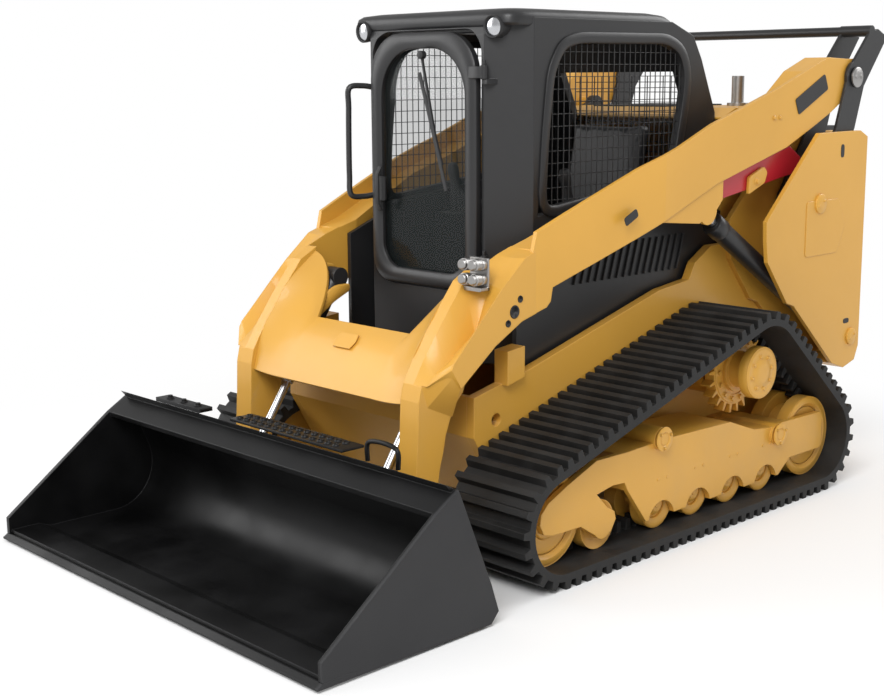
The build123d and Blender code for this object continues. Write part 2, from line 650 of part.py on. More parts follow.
def seat_platform():
    """The seat's base with an armrest console and hand lever on each side."""
    console = CAB_HALF_WIDTH - 70.0
    body = block((-210.0, 210.0), (120.0, 520.0), (750.0, 1060.0))
    body += block((-console, console), (120.0, 480.0), (750.0, 780.0))
    for side in (-1, 1):
        body += block(sorted((side * 265.0, side * console)), (0.0, 480.0), (750.0, 1250.0))
        body += Pos(side * 330.0, 50.0, 1330.0) * Cylinder(16.0, 170.0)
    return body


def seat_cushion():
    return fillet(block((-235.0, 235.0), (60.0, 560.0), (1060.0, 1170.0)).edges().filter_by(Axis.Z), 60.0)


def seat_backrest():
    slab = side_plate([(565, 1075), (600, 1075), (700, 1075), (790, 1640), (700, 1640)], -225.0, 225.0)
    return slab


# Loader linkage
ARM_TOP = [(1371, 1919), (996, 1790), (504, 1645), (284, 1560), (53, 1486), (-204, 1383), (-379, 1311)]
ARM_BOTTOM = [
    (-476, 965), (-420, 983), (-400, 1004), (-390, 1057), (-152, 1140), (60, 1215), (545, 1397), (1062, 1530),
    (1275, 1615), (1413, 1674), (1560, 1750), (1560, 1912),
]
ARM_TAPER = [(1700, ARM_INNER_X), (60, ARM_INNER_X), (-371, KNEE_INNER_X), (-700, KNEE_INNER_X)]
ARM_OUTER_TAPER = [(-700, KNEE_OUTER_X), (-474, KNEE_OUTER_X), (200, ARM_OUTER_X), (1700, ARM_OUTER_X)]
# The knee's three sections share their lower corners: crest, valley and outer plate.
KNEE_BOTTOM = [(-868, 737), (-691, 869), (-549, 944), (-470, 965)]
KNEE_CREST = [
    (-470, 1210), (-545, 1186), (-640, 1145), (-725, 1099), (-795, 1015), (-870, 918), (-935, 827), (-983, 749),
]
KNEE_VALLEY = [
    (-470, 1206), (-545, 1178), (-650, 1090), (-728, 912), (-808, 864), (-869, 825), (-935, 787), (-975, 750),
]
KNEE_PLATE = [
    (-470, 1203), (-534, 1181), (-661, 1075), (-744, 994), (-810, 928), (-860, 878), (-905, 834), (-917, 812),
]
LEG_FRONT = [(-983, 749), (-997, 690), (-1003, 560), (-1012, 430), (-1034, 235)]
LEG_REAR = [(-926, 235), (-895, 420), (-879, 474), (-863, 547), (-842, 600), (-816, 653), (-774, 695), (-720, 840)]


def in_plan(limits):
    """A tall block whose footprint is the loop of (y, x) points."""
    return extrude(make_face(Polyline(*[(x, y) for y, x in limits], close=True)), amount=2400.0)


def lift_arm():
    """The lift arm: a deep beam that tapers inward, a folded knee and a leg down to the bucket pin."""
    low_top = [(y, z - ARM_RECESS) for y, z in ARM_TOP[1:]]
    core = side_plate([(1560, 1912), *ARM_TOP[:1], (1200, 1858), *low_top, (-476, 1206), *ARM_BOTTOM[:-1]],
                      KNEE_INNER_X, ARM_OUTER_X)
    core &= in_plan(ARM_TAPER + ARM_OUTER_TAPER)
    outer = side_plate([*ARM_TOP, (-470, 1272), (-488, 1200), *ARM_BOTTOM], KNEE_INNER_X, ARM_OUTER_X)
    rail = [(y, x - ARM_RAIL) for y, x in ARM_OUTER_TAPER[::-1]]
    outer &= in_plan(ARM_OUTER_TAPER + rail)
    beam = core + outer + rod_x(ARM_PIN, 84.0, ARM_INNER_X, ARM_OUTER_X)
    knee = between_sections(
        (KNEE_INNER_X, KNEE_CREST + KNEE_BOTTOM),
        (KNEE_VALLEY_X, KNEE_VALLEY + KNEE_BOTTOM),
        (KNEE_OUTER_X, KNEE_PLATE + KNEE_BOTTOM),
    )
    wing = side_plate([*KNEE_CREST[2:], (-868, 720), (-774, 760), (-640, 960)], LEG_INNER_X, KNEE_INNER_X)
    leg = side_plate([*LEG_FRONT, *LEG_REAR], LEG_INNER_X, LEG_OUTER_X)
    leg += rod_x(BUCKET_PIN, 54.0, LEG_INNER_X, LEG_OUTER_X)
    bevel = between_sections(
        (LEG_OUTER_X, [(-982, 745), (-955, 666), (-830, 610), (-790, 760)]),
        (KNEE_OUTER_X - 4.0, [(-912, 806), (-900, 788), (-866, 742), (-825, 800)]),
    )
    lobes = []
    for x in (ARM_INNER_X + 6.0, ARM_OUTER_X - 22.0):
        lobe = side_plate([(200, 1300), (600, 1420), (600, 1330), (560, 1290), (440, 1240), (200, 1262)], x, x + 16.0)
        lobes.append(lobe + rod_x(LIFT_HEAD, 60.0, x, x + 16.0))
    head = rod_x(FRONT_LINK_HEAD, 40.0, FRONT_LINK_INNER_X + FRONT_LINK_WIDTH + MOVING_GAP, ARM_INNER_X + 10.0)
    body = beam + knee + wing + leg + bevel + lobes + head
    body -= rod_x(ARM_PIN, 32.0 + RUN_GAP, ARM_INNER_X - 5.0, ARM_OUTER_X + 5.0)
    return body - rod_x(BUCKET_PIN, 22.0 + RUN_GAP, LEG_INNER_X - 5.0, LEG_OUTER_X + 5.0)


DIP_HALF_WIDTH = 280.0
SKIN_THICKNESS = 17.0
SKIN_CENTRE = [(-985, 660), (-940, 735), (-890, 800), (-840, 848), (-784, 882)]
SKIN_SHOULDER = [(-985, 660), (-930, 765), (-850, 868), (-755, 962), (-668, 1022)]
SKIN_EDGE = [(-985, 668), (-935, 827), (-870, 918), (-795, 1015), (-645, 1128)]
TILT_EAR_INNER = [
    (-560, 1065), (-560, 975), (-650, 940), (-800, 835), (-835, 850), (-760, 930), (-660, 1005), (-630, 1050),
]
TILT_EAR_OUTER = [(-560, 1070), (-560, 975), (-650, 940), (-800, 835), (-865, 888), (-778, 990), (-642, 1100)]


def skin_section(front):
    """The plate's outline at one place: its front line, and its back line one thickness behind."""
    shift = SKIN_THICKNESS / sqrt(2)
    return front + [(y + shift, z - shift) for y, z in reversed(front)]


def arm_cross_plate():
    """The wide bent plate that joins both legs, dipped in front of the cab, with the tilt clevises."""
    plate = side_plate(skin_section(SKIN_CENTRE), -DIP_HALF_WIDTH, DIP_HALF_WIDTH)
    wing = between_sections(
        (DIP_HALF_WIDTH, skin_section(SKIN_CENTRE)),
        (DIP_HALF_WIDTH + 75.0, skin_section(SKIN_SHOULDER)),
        (LEG_INNER_X, skin_section(SKIN_EDGE)),
    )
    wing += side_plate(TILT_EAR_INNER, TILT_X - TILT_EAR_GAP - 15.0, TILT_X - TILT_EAR_GAP)
    wing += side_plate(TILT_EAR_OUTER, TILT_X + TILT_EAR_GAP, TILT_X + TILT_EAR_GAP + 15.0)
    return plate + wing + mirrored(wing)


def arm_brace():
    """The lift-arm support stowed beneath the left arm."""
    return side_plate([(600, 1395), (1150, 1530), (1240, 1478), (1213, 1412), (647, 1330)], 650.0, 690.0)


def rear_link():
    """The rear fork: two cranked plates between the tower and the arm, with the arm's pin."""
    outline = [
        (1205, 1290), (1436, 1601), (1533, 1870), (1690, 2030), (1765, 2050), (1850, 2015), (1660, 1790),
        (1594, 1597), (1355, 1250),
    ]
    inner_x = ARM_INNER_X - LINK_GAP - LINK_PLATE
    outer_x = ARM_OUTER_X + LINK_GAP
    body = []
    for x in (inner_x, outer_x):
        plate = side_plate(outline, x, x + LINK_PLATE) + rod_x(LINK_PIN, 75.0, x, x + LINK_PLATE)
        plate += rod_x(ARM_PIN, 72.0, x, x + LINK_PLATE)
        body.append(plate)
    pin = rod_x(ARM_PIN, 32.0, inner_x, outer_x + LINK_PLATE + 8.0)
    spacer = rod_x(CROSS_TUBE, 26.0, inner_x, outer_x + LINK_PLATE)
    link = body[0] + body[1] + pin + spacer
    return link - rod_x(LINK_PIN, 30.0 + RUN_GAP, inner_x - 5.0, outer_x + LINK_PLATE + 5.0)


def link_cross_tube():
    edge = ARM_INNER_X - LINK_GAP - LINK_PLATE
    return rod_x(CROSS_TUBE, 22.0, -edge, edge)


def front_link():
    """The control link from the chassis to the arm, an eye at each end."""
    x0, x1 = FRONT_LINK_INNER_X, FRONT_LINK_INNER_X + FRONT_LINK_WIDTH
    (y0, z0), (y1, z1) = FRONT_LINK_FOOT, FRONT_LINK_HEAD
    length = hypot(y1 - y0, z1 - z0)
    ny, nz = -(z1 - z0) / length * 32.0, (y1 - y0) / length * 32.0
    bar = side_plate([(y0 + ny, z0 + nz), (y1 + ny, z1 + nz), (y1 - ny, z1 - nz), (y0 - ny, z0 - nz)], x0, x1)
    bar += rod_x(FRONT_LINK_FOOT, 48.0, x0, x1)
    bar += rod_x(FRONT_LINK_HEAD, 48.0, x0, x1)
    return bar - rod_x(FRONT_LINK_FOOT, 25.0 + RUN_GAP, x0 - 5.0, x1 + 5.0)


LIFT_REST = hypot(LIFT_HEAD[0] - LIFT_FOOT[0], LIFT_HEAD[1] - LIFT_FOOT[1])
LIFT_BARREL_LENGTH = LIFT_REST - 120.0
LIFT_BASE_WALL = 62.0


def lift_barrel():
    """The lift cylinder's barrel, bored for its rod, with the base eye."""
    tube = bar_between(along(LIFT_FOOT, LIFT_HEAD, 20.0), along(LIFT_FOOT, LIFT_HEAD, LIFT_BARREL_LENGTH),
                       LIFT_BARREL_RADIUS, LIFT_X)
    tube += rod_x(LIFT_FOOT, 52.0, LIFT_X - 40.0, LIFT_X + 40.0)
    tube -= bar_between(along(LIFT_FOOT, LIFT_HEAD, LIFT_BASE_WALL), along(LIFT_FOOT, LIFT_HEAD, LIFT_REST),
                        LIFT_ROD_RADIUS + RUN_GAP, LIFT_X)
    return tube - rod_x(LIFT_FOOT, 28.0 + RUN_GAP, LIFT_X - 50.0, LIFT_X + 50.0)


def lift_rod():
    """The lift cylinder's rod with its eye and pin stub."""
    rod = bar_between(along(LIFT_FOOT, LIFT_HEAD, LIFT_BASE_WALL + 8.0), LIFT_HEAD, LIFT_ROD_RADIUS, LIFT_X)
    eye = rod_x(LIFT_HEAD, 46.0, LIFT_X - 30.0, LIFT_X + 30.0)
    return rod + eye


TILT_REST = hypot(TILT_HEAD[0] - TILT_FOOT[0], TILT_HEAD[1] - TILT_FOOT[1])
TILT_BARREL_LENGTH = 470.0


def tilt_point(distance):
    return along(TILT_FOOT, TILT_HEAD, distance)


def tilt_barrel():
    """The tilt cylinder's barrel with the eye at its closed end."""
    tube = bar_between(tilt_point(10.0), tilt_point(TILT_BARREL_LENGTH), TILT_BARREL_RADIUS, TILT_X)
    tube += rod_x(TILT_FOOT, 40.0, TILT_X - 36.0, TILT_X + 36.0)
    return tube - bar_between(tilt_point(60.0), tilt_point(TILT_REST), TILT_SLEEVE_RADIUS + RUN_GAP, TILT_X)


def tilt_sleeve():
    """The sleeve that carries the tilt rod as the arms rise."""
    tube = bar_between(tilt_point(200.0), tilt_point(TILT_BARREL_LENGTH + 24.0), TILT_SLEEVE_RADIUS, TILT_X)
    return tube - bar_between(tilt_point(190.0), tilt_point(TILT_REST), TILT_ROD_RADIUS + RUN_GAP, TILT_X)


def tilt_rod():
    """The tilt rod with the eye at the coupler."""
    rod = bar_between(tilt_point(300.0), TILT_HEAD, TILT_ROD_RADIUS, TILT_X)
    return rod + rod_x(TILT_HEAD, 34.0, TILT_X - 20.0, TILT_X + 20.0)


# Bucket and coupler
EAR_GAP = 10.0
EAR_PLATE = 20.0
EAR_INNER = (LEG_INNER_X - EAR_GAP - EAR_PLATE, LEG_INNER_X - EAR_GAP)
EAR_OUTER = (LEG_OUTER_X + EAR_GAP, LEG_OUTER_X + EAR_GAP + EAR_PLATE)
BACK_FOOT = (-1097.0, 154.0)
BACK_TOP = (-1250.0, 518.0)
BACK_LENGTH = hypot(BACK_TOP[0] - BACK_FOOT[0], BACK_TOP[1] - BACK_FOOT[1])
UP = ((BACK_TOP[0] - BACK_FOOT[0]) / BACK_LENGTH, (BACK_TOP[1] - BACK_FOOT[1]) / BACK_LENGTH)
OUT = (UP[1], -UP[0])


def on_back(up, out):
    """A (y, z) point measured up the bucket's back and rearward from it."""
    return (BACK_FOOT[0] + up * UP[0] + out * OUT[0], BACK_FOOT[1] + up * UP[1] + out * OUT[1])


def bucket_pin():
    return rod_x(BUCKET_PIN, 22.0, EAR_INNER[0] - 4.0, EAR_OUTER[1])


def quick_coupler():
    """The coupler: a plate on the bucket's back with ears for the bucket and tilt pins."""
    plate = side_plate([on_back(10, 1), on_back(10, 21), on_back(330, 21), on_back(330, 1)], -EAR_OUTER[1], EAR_OUTER[1])
    bottom = side_plate([on_back(-60, 1), on_back(-60, 45), on_back(30, 45), on_back(30, 1)], -EAR_OUTER[1], EAR_OUTER[1])
    hook = side_plate([on_back(315, 1), on_back(315, 60), on_back(335, 60), on_back(350, 1)], -EAR_OUTER[1], EAR_OUTER[1])
    body = plate + bottom + hook
    for side in (-1, 1):
        for low, high in (EAR_INNER, EAR_OUTER):
            span = sorted((side * low, side * high))
            ear = side_plate([on_back(-50, 20), on_back(-25, 139), on_back(75, 139), on_back(120, 20)], *span)
            ear += rod_x(BUCKET_PIN, 44.0, *span)
            body += ear - rod_x(BUCKET_PIN, 22.0 + RUN_GAP, span[0] - 5.0, span[1] + 5.0)
        for low, high in ((TILT_X - 42.0, TILT_X - 26.0), (TILT_X + 26.0, TILT_X + 42.0)):
            span = sorted((side * low, side * high))
            ear = side_plate([on_back(60, 20), on_back(130, 160), on_back(200, 160), on_back(280, 20)], *span)
            body += ear + rod_x(TILT_HEAD, 38.0, *span)
    return body


def bucket_profile(inset):
    """Floor and back of the bucket at one depth into the shell, with the heel's round between."""
    floor_z = BUCKET_FLOOR_Z + inset
    corner = on_back((floor_z - BACK_FOOT[1] - inset * -OUT[1]) / UP[1], -inset)
    top = on_back(BACK_LENGTH - inset, -inset)
    return floor_z, corner, top


def bucket():
    """The bucket: a bent shell of one thickness between side plates, with a flange along its top."""
    half = BUCKET_WIDTH / 2
    floor, corner, top = bucket_profile(0.0)
    inner_floor, inner_corner, inner_top = bucket_profile(BUCKET_WALL)
    outside = make_face(Polyline(
        (-1825, 30), (-1825, 30 + BUCKET_WALL), (-1600, 700), top, corner, (-1660, floor), (-1700, 30), close=True))
    outside = fillet(outside.vertices().sort_by(Axis.X)[-1], HEEL_RADIUS + BUCKET_WALL)
    hollow = make_face(Polyline(
        (-1900, 30 + BUCKET_WALL), (-1705, 30 + BUCKET_WALL), (-1655, inner_floor), inner_corner, inner_top,
        (-1600, 900), (-1900, 900), close=True))
    hollow = fillet(hollow.vertices().sort_by(Axis.X)[-1], HEEL_RADIUS)
    shell = extrude(Plane.YZ.offset(-half + SIDE_WALL) * (outside - hollow), amount=2 * (half - SIDE_WALL))
    flange = side_plate([BACK_TOP, (-1262, 486), (-1345, 436), (-1351, 457)], -half + SIDE_WALL, half - SIDE_WALL)
    side = [
        (-1836, 30), (-1836, 95), (-1351, 457), BACK_TOP, BACK_FOOT, (-1061, 49), (-1097, BUCKET_FLOOR_Z),
        (-1700, BUCKET_FLOOR_Z), (-1700, 30),
    ]
    for span in ((half - SIDE_WALL, half), (-half, -half + SIDE_WALL)):
        shell += side_plate(side, *span)
    return shell + flange


def cutting_edge():
    half = BUCKET_WIDTH / 2
    y0 = CUTTING_EDGE_Y
    y1 = -1700.0 - RUN_GAP
    return side_plate([(y0, BUCKET_FLOOR_Z), (y0, BUCKET_FLOOR_Z + 6), (y0 + 22, 30), (y1, 30), (y1, BUCKET_FLOOR_Z)],
                      -half, half)


def nodes():
    """Every node of the loader by name."""
    left = {
        "side_frame": side_frame(), "tower": tower(), "undercarriage_frame": undercarriage(), "track": track(),
        "drive_sprocket": sprocket(), "travel_motor": travel_motor(), "front_idler": idler(FRONT_IDLER),
        "rear_idler": idler(REAR_IDLER),
        "track_rollers": [roller(centre) for centre in (*ROLLER_CENTRES, NOSE_ROLLER)],
        "side_panel": side_panel(), "side_guard": side_guard(),
        "rear_link": rear_link(), "lift_arm": lift_arm(), "front_link": front_link(),
        "lift_barrel": lift_barrel(), "lift_rod": lift_rod(), "tilt_barrel": tilt_barrel(),
        "tilt_sleeve": tilt_sleeve(), "tilt_rod": tilt_rod(), "bucket_pin": bucket_pin(),
    }
    model = {}
    for name, part in left.items():
        solids = part if isinstance(part, list) else [part]
        model[name + "_left"] = Compound(children=solids) if len(solids) > 1 else solids[0]
        twins = [mirrored(solid) for solid in solids]
        model[name + "_right"] = Compound(children=twins) if len(twins) > 1 else twins[0]
    model["tower_left"] = Compound(children=[*tower(), hinge_post()])
    model["cab_frame"] = cab_frame() + door_hinges()
    model |= {
        "main_frame": main_frame(), "cab_roof": cab_roof(), "rear_window": rear_window(),
        "cab_door": cab_door(), "door_glass": door_glass(), "seat_platform": seat_platform(),
        "seat_cushion": seat_cushion(), "seat_backrest": seat_backrest(), "engine_block": engine_block(),
        "engine_hood": engine_hood(), "exhaust_stack": exhaust_stack(), "rear_door": rear_door(),
        "link_cross_tube": link_cross_tube(), "arm_cross_plate": arm_cross_plate(), "arm_brace": arm_brace(),
        "quick_coupler": quick_coupler(), "bucket": bucket(), "cutting_edge": cutting_edge(),
    }
    return model


os.makedirs("parts", exist_ok=True)
for name, part in nodes().items():
    export_step(part, f"parts/{name}.step")
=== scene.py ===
"""The looks of a compact track loader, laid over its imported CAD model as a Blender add-on."""

import json
from functools import cached_property
from math import cos, pi, radians, sin

import bmesh
import bpy
import numpy as np
from bpy.props import FloatProperty, FloatVectorProperty, PointerProperty
from mathutils import Matrix, Vector


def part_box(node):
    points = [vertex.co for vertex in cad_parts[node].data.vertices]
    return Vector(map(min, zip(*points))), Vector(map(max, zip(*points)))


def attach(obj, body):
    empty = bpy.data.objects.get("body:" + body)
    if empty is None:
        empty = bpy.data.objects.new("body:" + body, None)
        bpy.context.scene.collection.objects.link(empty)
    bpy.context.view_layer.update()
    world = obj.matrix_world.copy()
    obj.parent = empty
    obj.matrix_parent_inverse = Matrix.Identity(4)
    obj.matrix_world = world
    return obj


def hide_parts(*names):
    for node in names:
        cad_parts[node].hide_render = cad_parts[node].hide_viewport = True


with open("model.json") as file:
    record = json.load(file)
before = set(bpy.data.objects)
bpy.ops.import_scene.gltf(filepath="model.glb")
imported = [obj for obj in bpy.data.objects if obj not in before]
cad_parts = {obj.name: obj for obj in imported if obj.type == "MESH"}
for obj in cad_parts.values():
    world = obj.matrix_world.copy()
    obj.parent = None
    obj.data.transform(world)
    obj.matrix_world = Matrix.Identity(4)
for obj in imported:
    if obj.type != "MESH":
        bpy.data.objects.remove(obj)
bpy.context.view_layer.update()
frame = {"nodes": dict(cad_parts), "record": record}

bl_info = {
    "name": "Track Loader Looks",
    "version": (1, 0, 0),
    "blender": (4, 5, 0),
    "location": "View3D > Sidebar > Loader",
    "description": "Finishes and fittings of a compact track loader",
    "category": "Object",
}

NODES = frame["nodes"]
JOINTS = {joint["name"]: joint for joint in frame["record"]["behaviour"]["joints"]}
FINISHES = {}

# Places of the left side that no corner of a node's box gives, in metres from the machine's middle
LAMP_X = 0.373
TILT_X = 0.385
LIFT_X = 0.670
PANEL_FACE = 0.5045
KNEE_FACE = 0.6455
ARM_FACE = 0.7305
TOWER_FACE = 0.775
WHEEL_FACE = 0.860
BRACKET_FACE = 0.8655

# The four rollers that stand under the track frame's beam
ROLLER_Z = 0.1585
ROLLER_PLACES = (0.010, 0.255, 0.500, 0.745)


# Shader maths -------------------------------------------------------------------------------

class Value:
    """One output socket; Python operators on it add Math nodes to its graph."""

    def __init__(self, graph, socket):
        self.graph = graph
        self.socket = socket

    def math(self, operation, *others):
        return self.graph.node("ShaderNodeMath", {"operation": operation}, self, *others)

    def __add__(self, other):
        return self.math("ADD", other)

    def __sub__(self, other):
        return self.math("SUBTRACT", other)

    def __rsub__(self, other):
        return self.graph.node("ShaderNodeMath", {"operation": "SUBTRACT"}, other, self)

    def __mul__(self, other):
        return self.math("MULTIPLY", other)

    __radd__ = __add__
    __rmul__ = __mul__

    def between(self, low, high):
        """0 below low, 1 above high, with a smooth step from one to the other."""
        settings = {"interpolation_type": "SMOOTHSTEP"}
        return self.graph.node("ShaderNodeMapRange", settings, self, low, high)


class Graph:
    """The node graph of one material or world."""

    def __init__(self, owner):
        self.owner = owner
        owner.use_nodes = True
        self.tree = owner.node_tree
        self.tree.nodes.clear()

    @cached_property
    def coords(self):
        """Places on the object itself."""
        return self.node("ShaderNodeTexCoord", {}, output="Object")

    def node(self, kind, settings, *inputs, output=0, **named):
        """Adds a node, sets its settings, feeds its sockets, and returns one of its outputs."""
        node = self.tree.nodes.new(kind)
        for key, value in settings.items():
            setattr(node, key, value)
        for index, value in enumerate(inputs):
            if value is not None:
                self.feed(node.inputs[index], value)
        for key, value in named.items():
            self.feed(node.inputs[key.replace("_", " ")], value)
        return Value(self, node.outputs[output]) if node.outputs else node

    def feed(self, socket, value):
        """Links a Value to a socket, or sets the socket to a number or a colour."""
        if isinstance(value, Value):
            self.tree.links.new(value.socket, socket)
        elif hasattr(socket.default_value, "__len__") and hasattr(value, "__len__"):
            length = len(socket.default_value)
            socket.default_value = (tuple(value) + (1.0,))[:length]
        else:
            socket.default_value = value

    def noise(self, scale, detail=3.0, roughness=0.5):
        return self.node("ShaderNodeTexNoise", {}, Vector=self.coords, Scale=scale, Detail=detail,
                         Roughness=roughness)

    def mix(self, factor, first, second):
        """One colour where the factor is 0, the other where it is 1, on the node's own colour sockets."""
        skipped = (None,) * 5
        return self.node("ShaderNodeMix", {"data_type": "RGBA"}, factor, *skipped, first, second, output=2)

    def axis(self, name, vector=None):
        return self.node("ShaderNodeSeparateXYZ", {}, vector or self.coords, output=name)

    def rounded(self, radius):
        """The normal as it would be with every edge rounded to a radius."""
        return self.node("ShaderNodeBevel", {"samples": 6}, Radius=radius)

    def edges(self, rounded_normal):
        """How far the rounded normal leaves the flat one: 0 on a face, near 1 on a sharp edge."""
        flat = self.node("ShaderNodeNewGeometry", {}, output="True Normal")
        together = self.node("ShaderNodeVectorMath", {"operation": "DOT_PRODUCT"}, rounded_normal, flat,
                             output="Value")
        return (1.0 - together).between(0.01, 0.25)

    def bump(self, height, strength, distance, normal):
        """A grain laid over a normal."""
        return self.node("ShaderNodeBump", {}, Height=height, Strength=strength, Distance=distance,
                         Normal=normal)

    def finish(self, **named):
        """Adds the Principled shader with these inputs and returns the material."""
        surface = self.node("ShaderNodeBsdfPrincipled", {}, **named)
        self.node("ShaderNodeOutputMaterial", {}, Surface=surface)
        return self.owner


# Finishes -----------------------------------------------------------------------------------

def scaled(colour, share, lift=0.0):
    """A colour made darker or lighter, and held at white."""
    return [min(1.0, c * share + lift) for c in colour]


def painted(name, colour, roughness, dust=0.25, coat=0.25, edge=0.5):
    """Sprayed metal: soft edges that catch light and are painted lighter as a highlight, faint mottling, and
    dust low down and on ledges.
    """
    g = Graph(bpy.data.materials.new(name))
    normal = g.rounded(0.005)
    fine = g.noise(38.0, 2.0)
    up = g.axis("Z", g.node("ShaderNodeNewGeometry", {}, output="Normal"))
    low = 1.0 - g.axis("Z").between(0.1, 1.0)
    dust_mask = (low * 0.6 + up.between(0.3, 1.0) * 0.4) * g.noise(6.0, 5.0).between(0.35, 0.75) * dust
    shade = g.mix(g.noise(1.7, 4.0), scaled(colour, 0.86), scaled(colour, 1.06, 0.01))
    # The edges are painted lighter: a painted highlight along every rounded edge, as strong as edge
    shade = g.mix(g.edges(normal) * edge, shade, scaled(colour, 1.25, 0.05))
    shade = g.mix(dust_mask, shade, (0.36, 0.30, 0.22))
    rough = roughness + (fine - 0.5) * 0.12 + dust_mask * 0.5
    grain = g.bump(fine, 0.08, 0.0006, normal)
    return g.finish(Base_Color=shade, Roughness=rough, Normal=grain, Coat_Weight=coat, Coat_Roughness=0.12)


def bucket_finish(name, colour):
    """Bucket paint: the side plates keep their paint, the inside is darker, partly from worn paint and partly
    as painted shade in the hollow, and more polished, and the edges are painted lighter as a highlight.
    """
    g = Graph(bpy.data.materials.new(name))
    normal = g.rounded(0.005)
    outside = g.axis("X").math("ABSOLUTE").between(1.0, 1.012)
    patch = g.noise(3.5, 5.0).between(0.35, 0.7)
    # The inside is painted darker than the side plates: partly worn paint, partly painted shade in the
    # bucket's hollow
    inside = g.mix(patch, scaled(colour, 0.12), scaled(colour, 0.30))
    shade = g.mix(outside, inside, scaled(colour, 1.5))
    # The edges are painted lighter: a painted highlight
    shade = g.mix(g.edges(normal) * 0.4, shade, scaled(colour, 3.0))
    rough = 0.34 + patch * 0.14 + outside * 0.1
    grain = g.bump(g.noise(60.0, 3.0), 0.06, 0.0006, normal)
    return g.finish(Base_Color=shade, Roughness=rough, Normal=grain, Specular_IOR_Level=0.25)


def rubber(name):
    """Track rubber: near black with dusty patches, its edges painted lighter as a highlight, and a fine
    moulded grain.
    """
    g = Graph(bpy.data.materials.new(name))
    normal = g.rounded(0.004)
    patch = g.noise(9.0, 6.0, 0.6).between(0.35, 0.75)
    shade = g.mix(patch, (0.006, 0.006, 0.006), (0.014, 0.0135, 0.013))
    # The edges are painted lighter: a painted highlight
    shade = g.mix(g.edges(normal) * 0.5, shade, (0.030, 0.029, 0.028))
    grain = g.bump(g.noise(160.0, 3.0), 0.35, 0.001, normal)
    return g.finish(Base_Color=shade, Roughness=0.62 + patch * 0.15, Normal=grain)


def metal(name, colour, roughness):
    """Bare metal with faint marks."""
    g = Graph(bpy.data.materials.new(name))
    mark = g.noise(70.0, 3.0)
    shade = g.mix(mark, scaled(colour, 0.85), colour)
    return g.finish(Base_Color=shade, Metallic=1.0, Roughness=roughness + mark * 0.1,
                    Normal=g.rounded(0.002))


def plastic(name, colour, roughness=0.5):
    """Moulded plastic or vinyl with a fine grain."""
    g = Graph(bpy.data.materials.new(name))
    fine = g.noise(240.0, 2.0)
    shade = g.mix(g.noise(5.0), scaled(colour, 0.8), colour)
    grain = g.bump(fine, 0.2, 0.0004, g.rounded(0.004))
    return g.finish(Base_Color=shade, Roughness=roughness + (fine - 0.5) * 0.1, Normal=grain)


def pane(name, tint, alpha):
    """Tinted glass: mostly clear, with its own gloss."""
    g = Graph(bpy.data.materials.new(name))
    smear = g.noise(3.0, 3.0)
    return g.finish(Base_Color=tint, Roughness=0.03 + smear * 0.04, Alpha=alpha + smear * 0.06, IOR=1.45)


def finishes():
    """One material for each slot of the record."""
    paint = bpy.context.scene.loader_paint
    return {
        "yellow_paint": painted("yellow_paint", paint.body_colour, 0.42, dust=0.18, coat=0.15),
        "black_paint": painted("black_paint", paint.cab_colour, 0.40, dust=0.04, coat=0.0, edge=0.15),
        "bucket_paint": bucket_finish("bucket_paint", paint.bucket_colour),
        "track_rubber": rubber("track_rubber"),
        "chrome_rod": metal("chrome_rod", (0.62, 0.63, 0.65), 0.16),
        "bare_steel": metal("bare_steel", (0.42, 0.41, 0.40), 0.35),
        "clear_pane": pane("clear_pane", (0.02, 0.025, 0.025), 0.22),
        "seat_vinyl": plastic("seat_vinyl", (0.03, 0.03, 0.032)),
        "dark_plastic": plastic("dark_plastic", (0.02, 0.02, 0.021), 0.55),
        "red_paint": painted("red_paint", paint.brace_colour, 0.35),
    }


# Settings -----------------------------------------------------------------------------------

class LoaderPaint(bpy.types.PropertyGroup):
    """Paint colours of the machine."""

    body_colour: FloatVectorProperty(name="Body", description="Paint of frame and arms", subtype="COLOR",
                                     size=3, default=(0.70, 0.365, 0.046), min=0.0, max=1.0)
    cab_colour: FloatVectorProperty(name="Cab", description="Paint of the cab and links", subtype="COLOR",
                                    size=3, default=(0.012, 0.012, 0.013), min=0.0, max=1.0)
    bucket_colour: FloatVectorProperty(name="Bucket", description="Paint of the bucket", subtype="COLOR",
                                       size=3, default=(0.020, 0.020, 0.021), min=0.0, max=1.0)
    brace_colour: FloatVectorProperty(name="Brace", description="Paint of the arm brace", subtype="COLOR",
                                      size=3, default=(0.50, 0.012, 0.025), min=0.0, max=1.0)


class LoaderFittings(bpy.types.PropertyGroup):
    """Sizes of the side guards' wires and of the seat pads."""

    wire: FloatProperty(name="Wire", description="Radius of a side guard's wires", subtype="DISTANCE",
                        unit="LENGTH", default=0.0022, min=0.0005)
    upright_pitch: FloatProperty(name="Upright pitch", description="Between a side guard's upright wires",
                                 subtype="DISTANCE", unit="LENGTH", default=0.034, min=0.01)
    level_pitch: FloatProperty(name="Level pitch", description="Between a side guard's level wires",
                               subtype="DISTANCE", unit="LENGTH", default=0.048, min=0.01)
    pad_rise: FloatProperty(name="Pad rise", description="Most that a seat pad swells", subtype="DISTANCE",
                            unit="LENGTH", default=0.012, min=0.0)


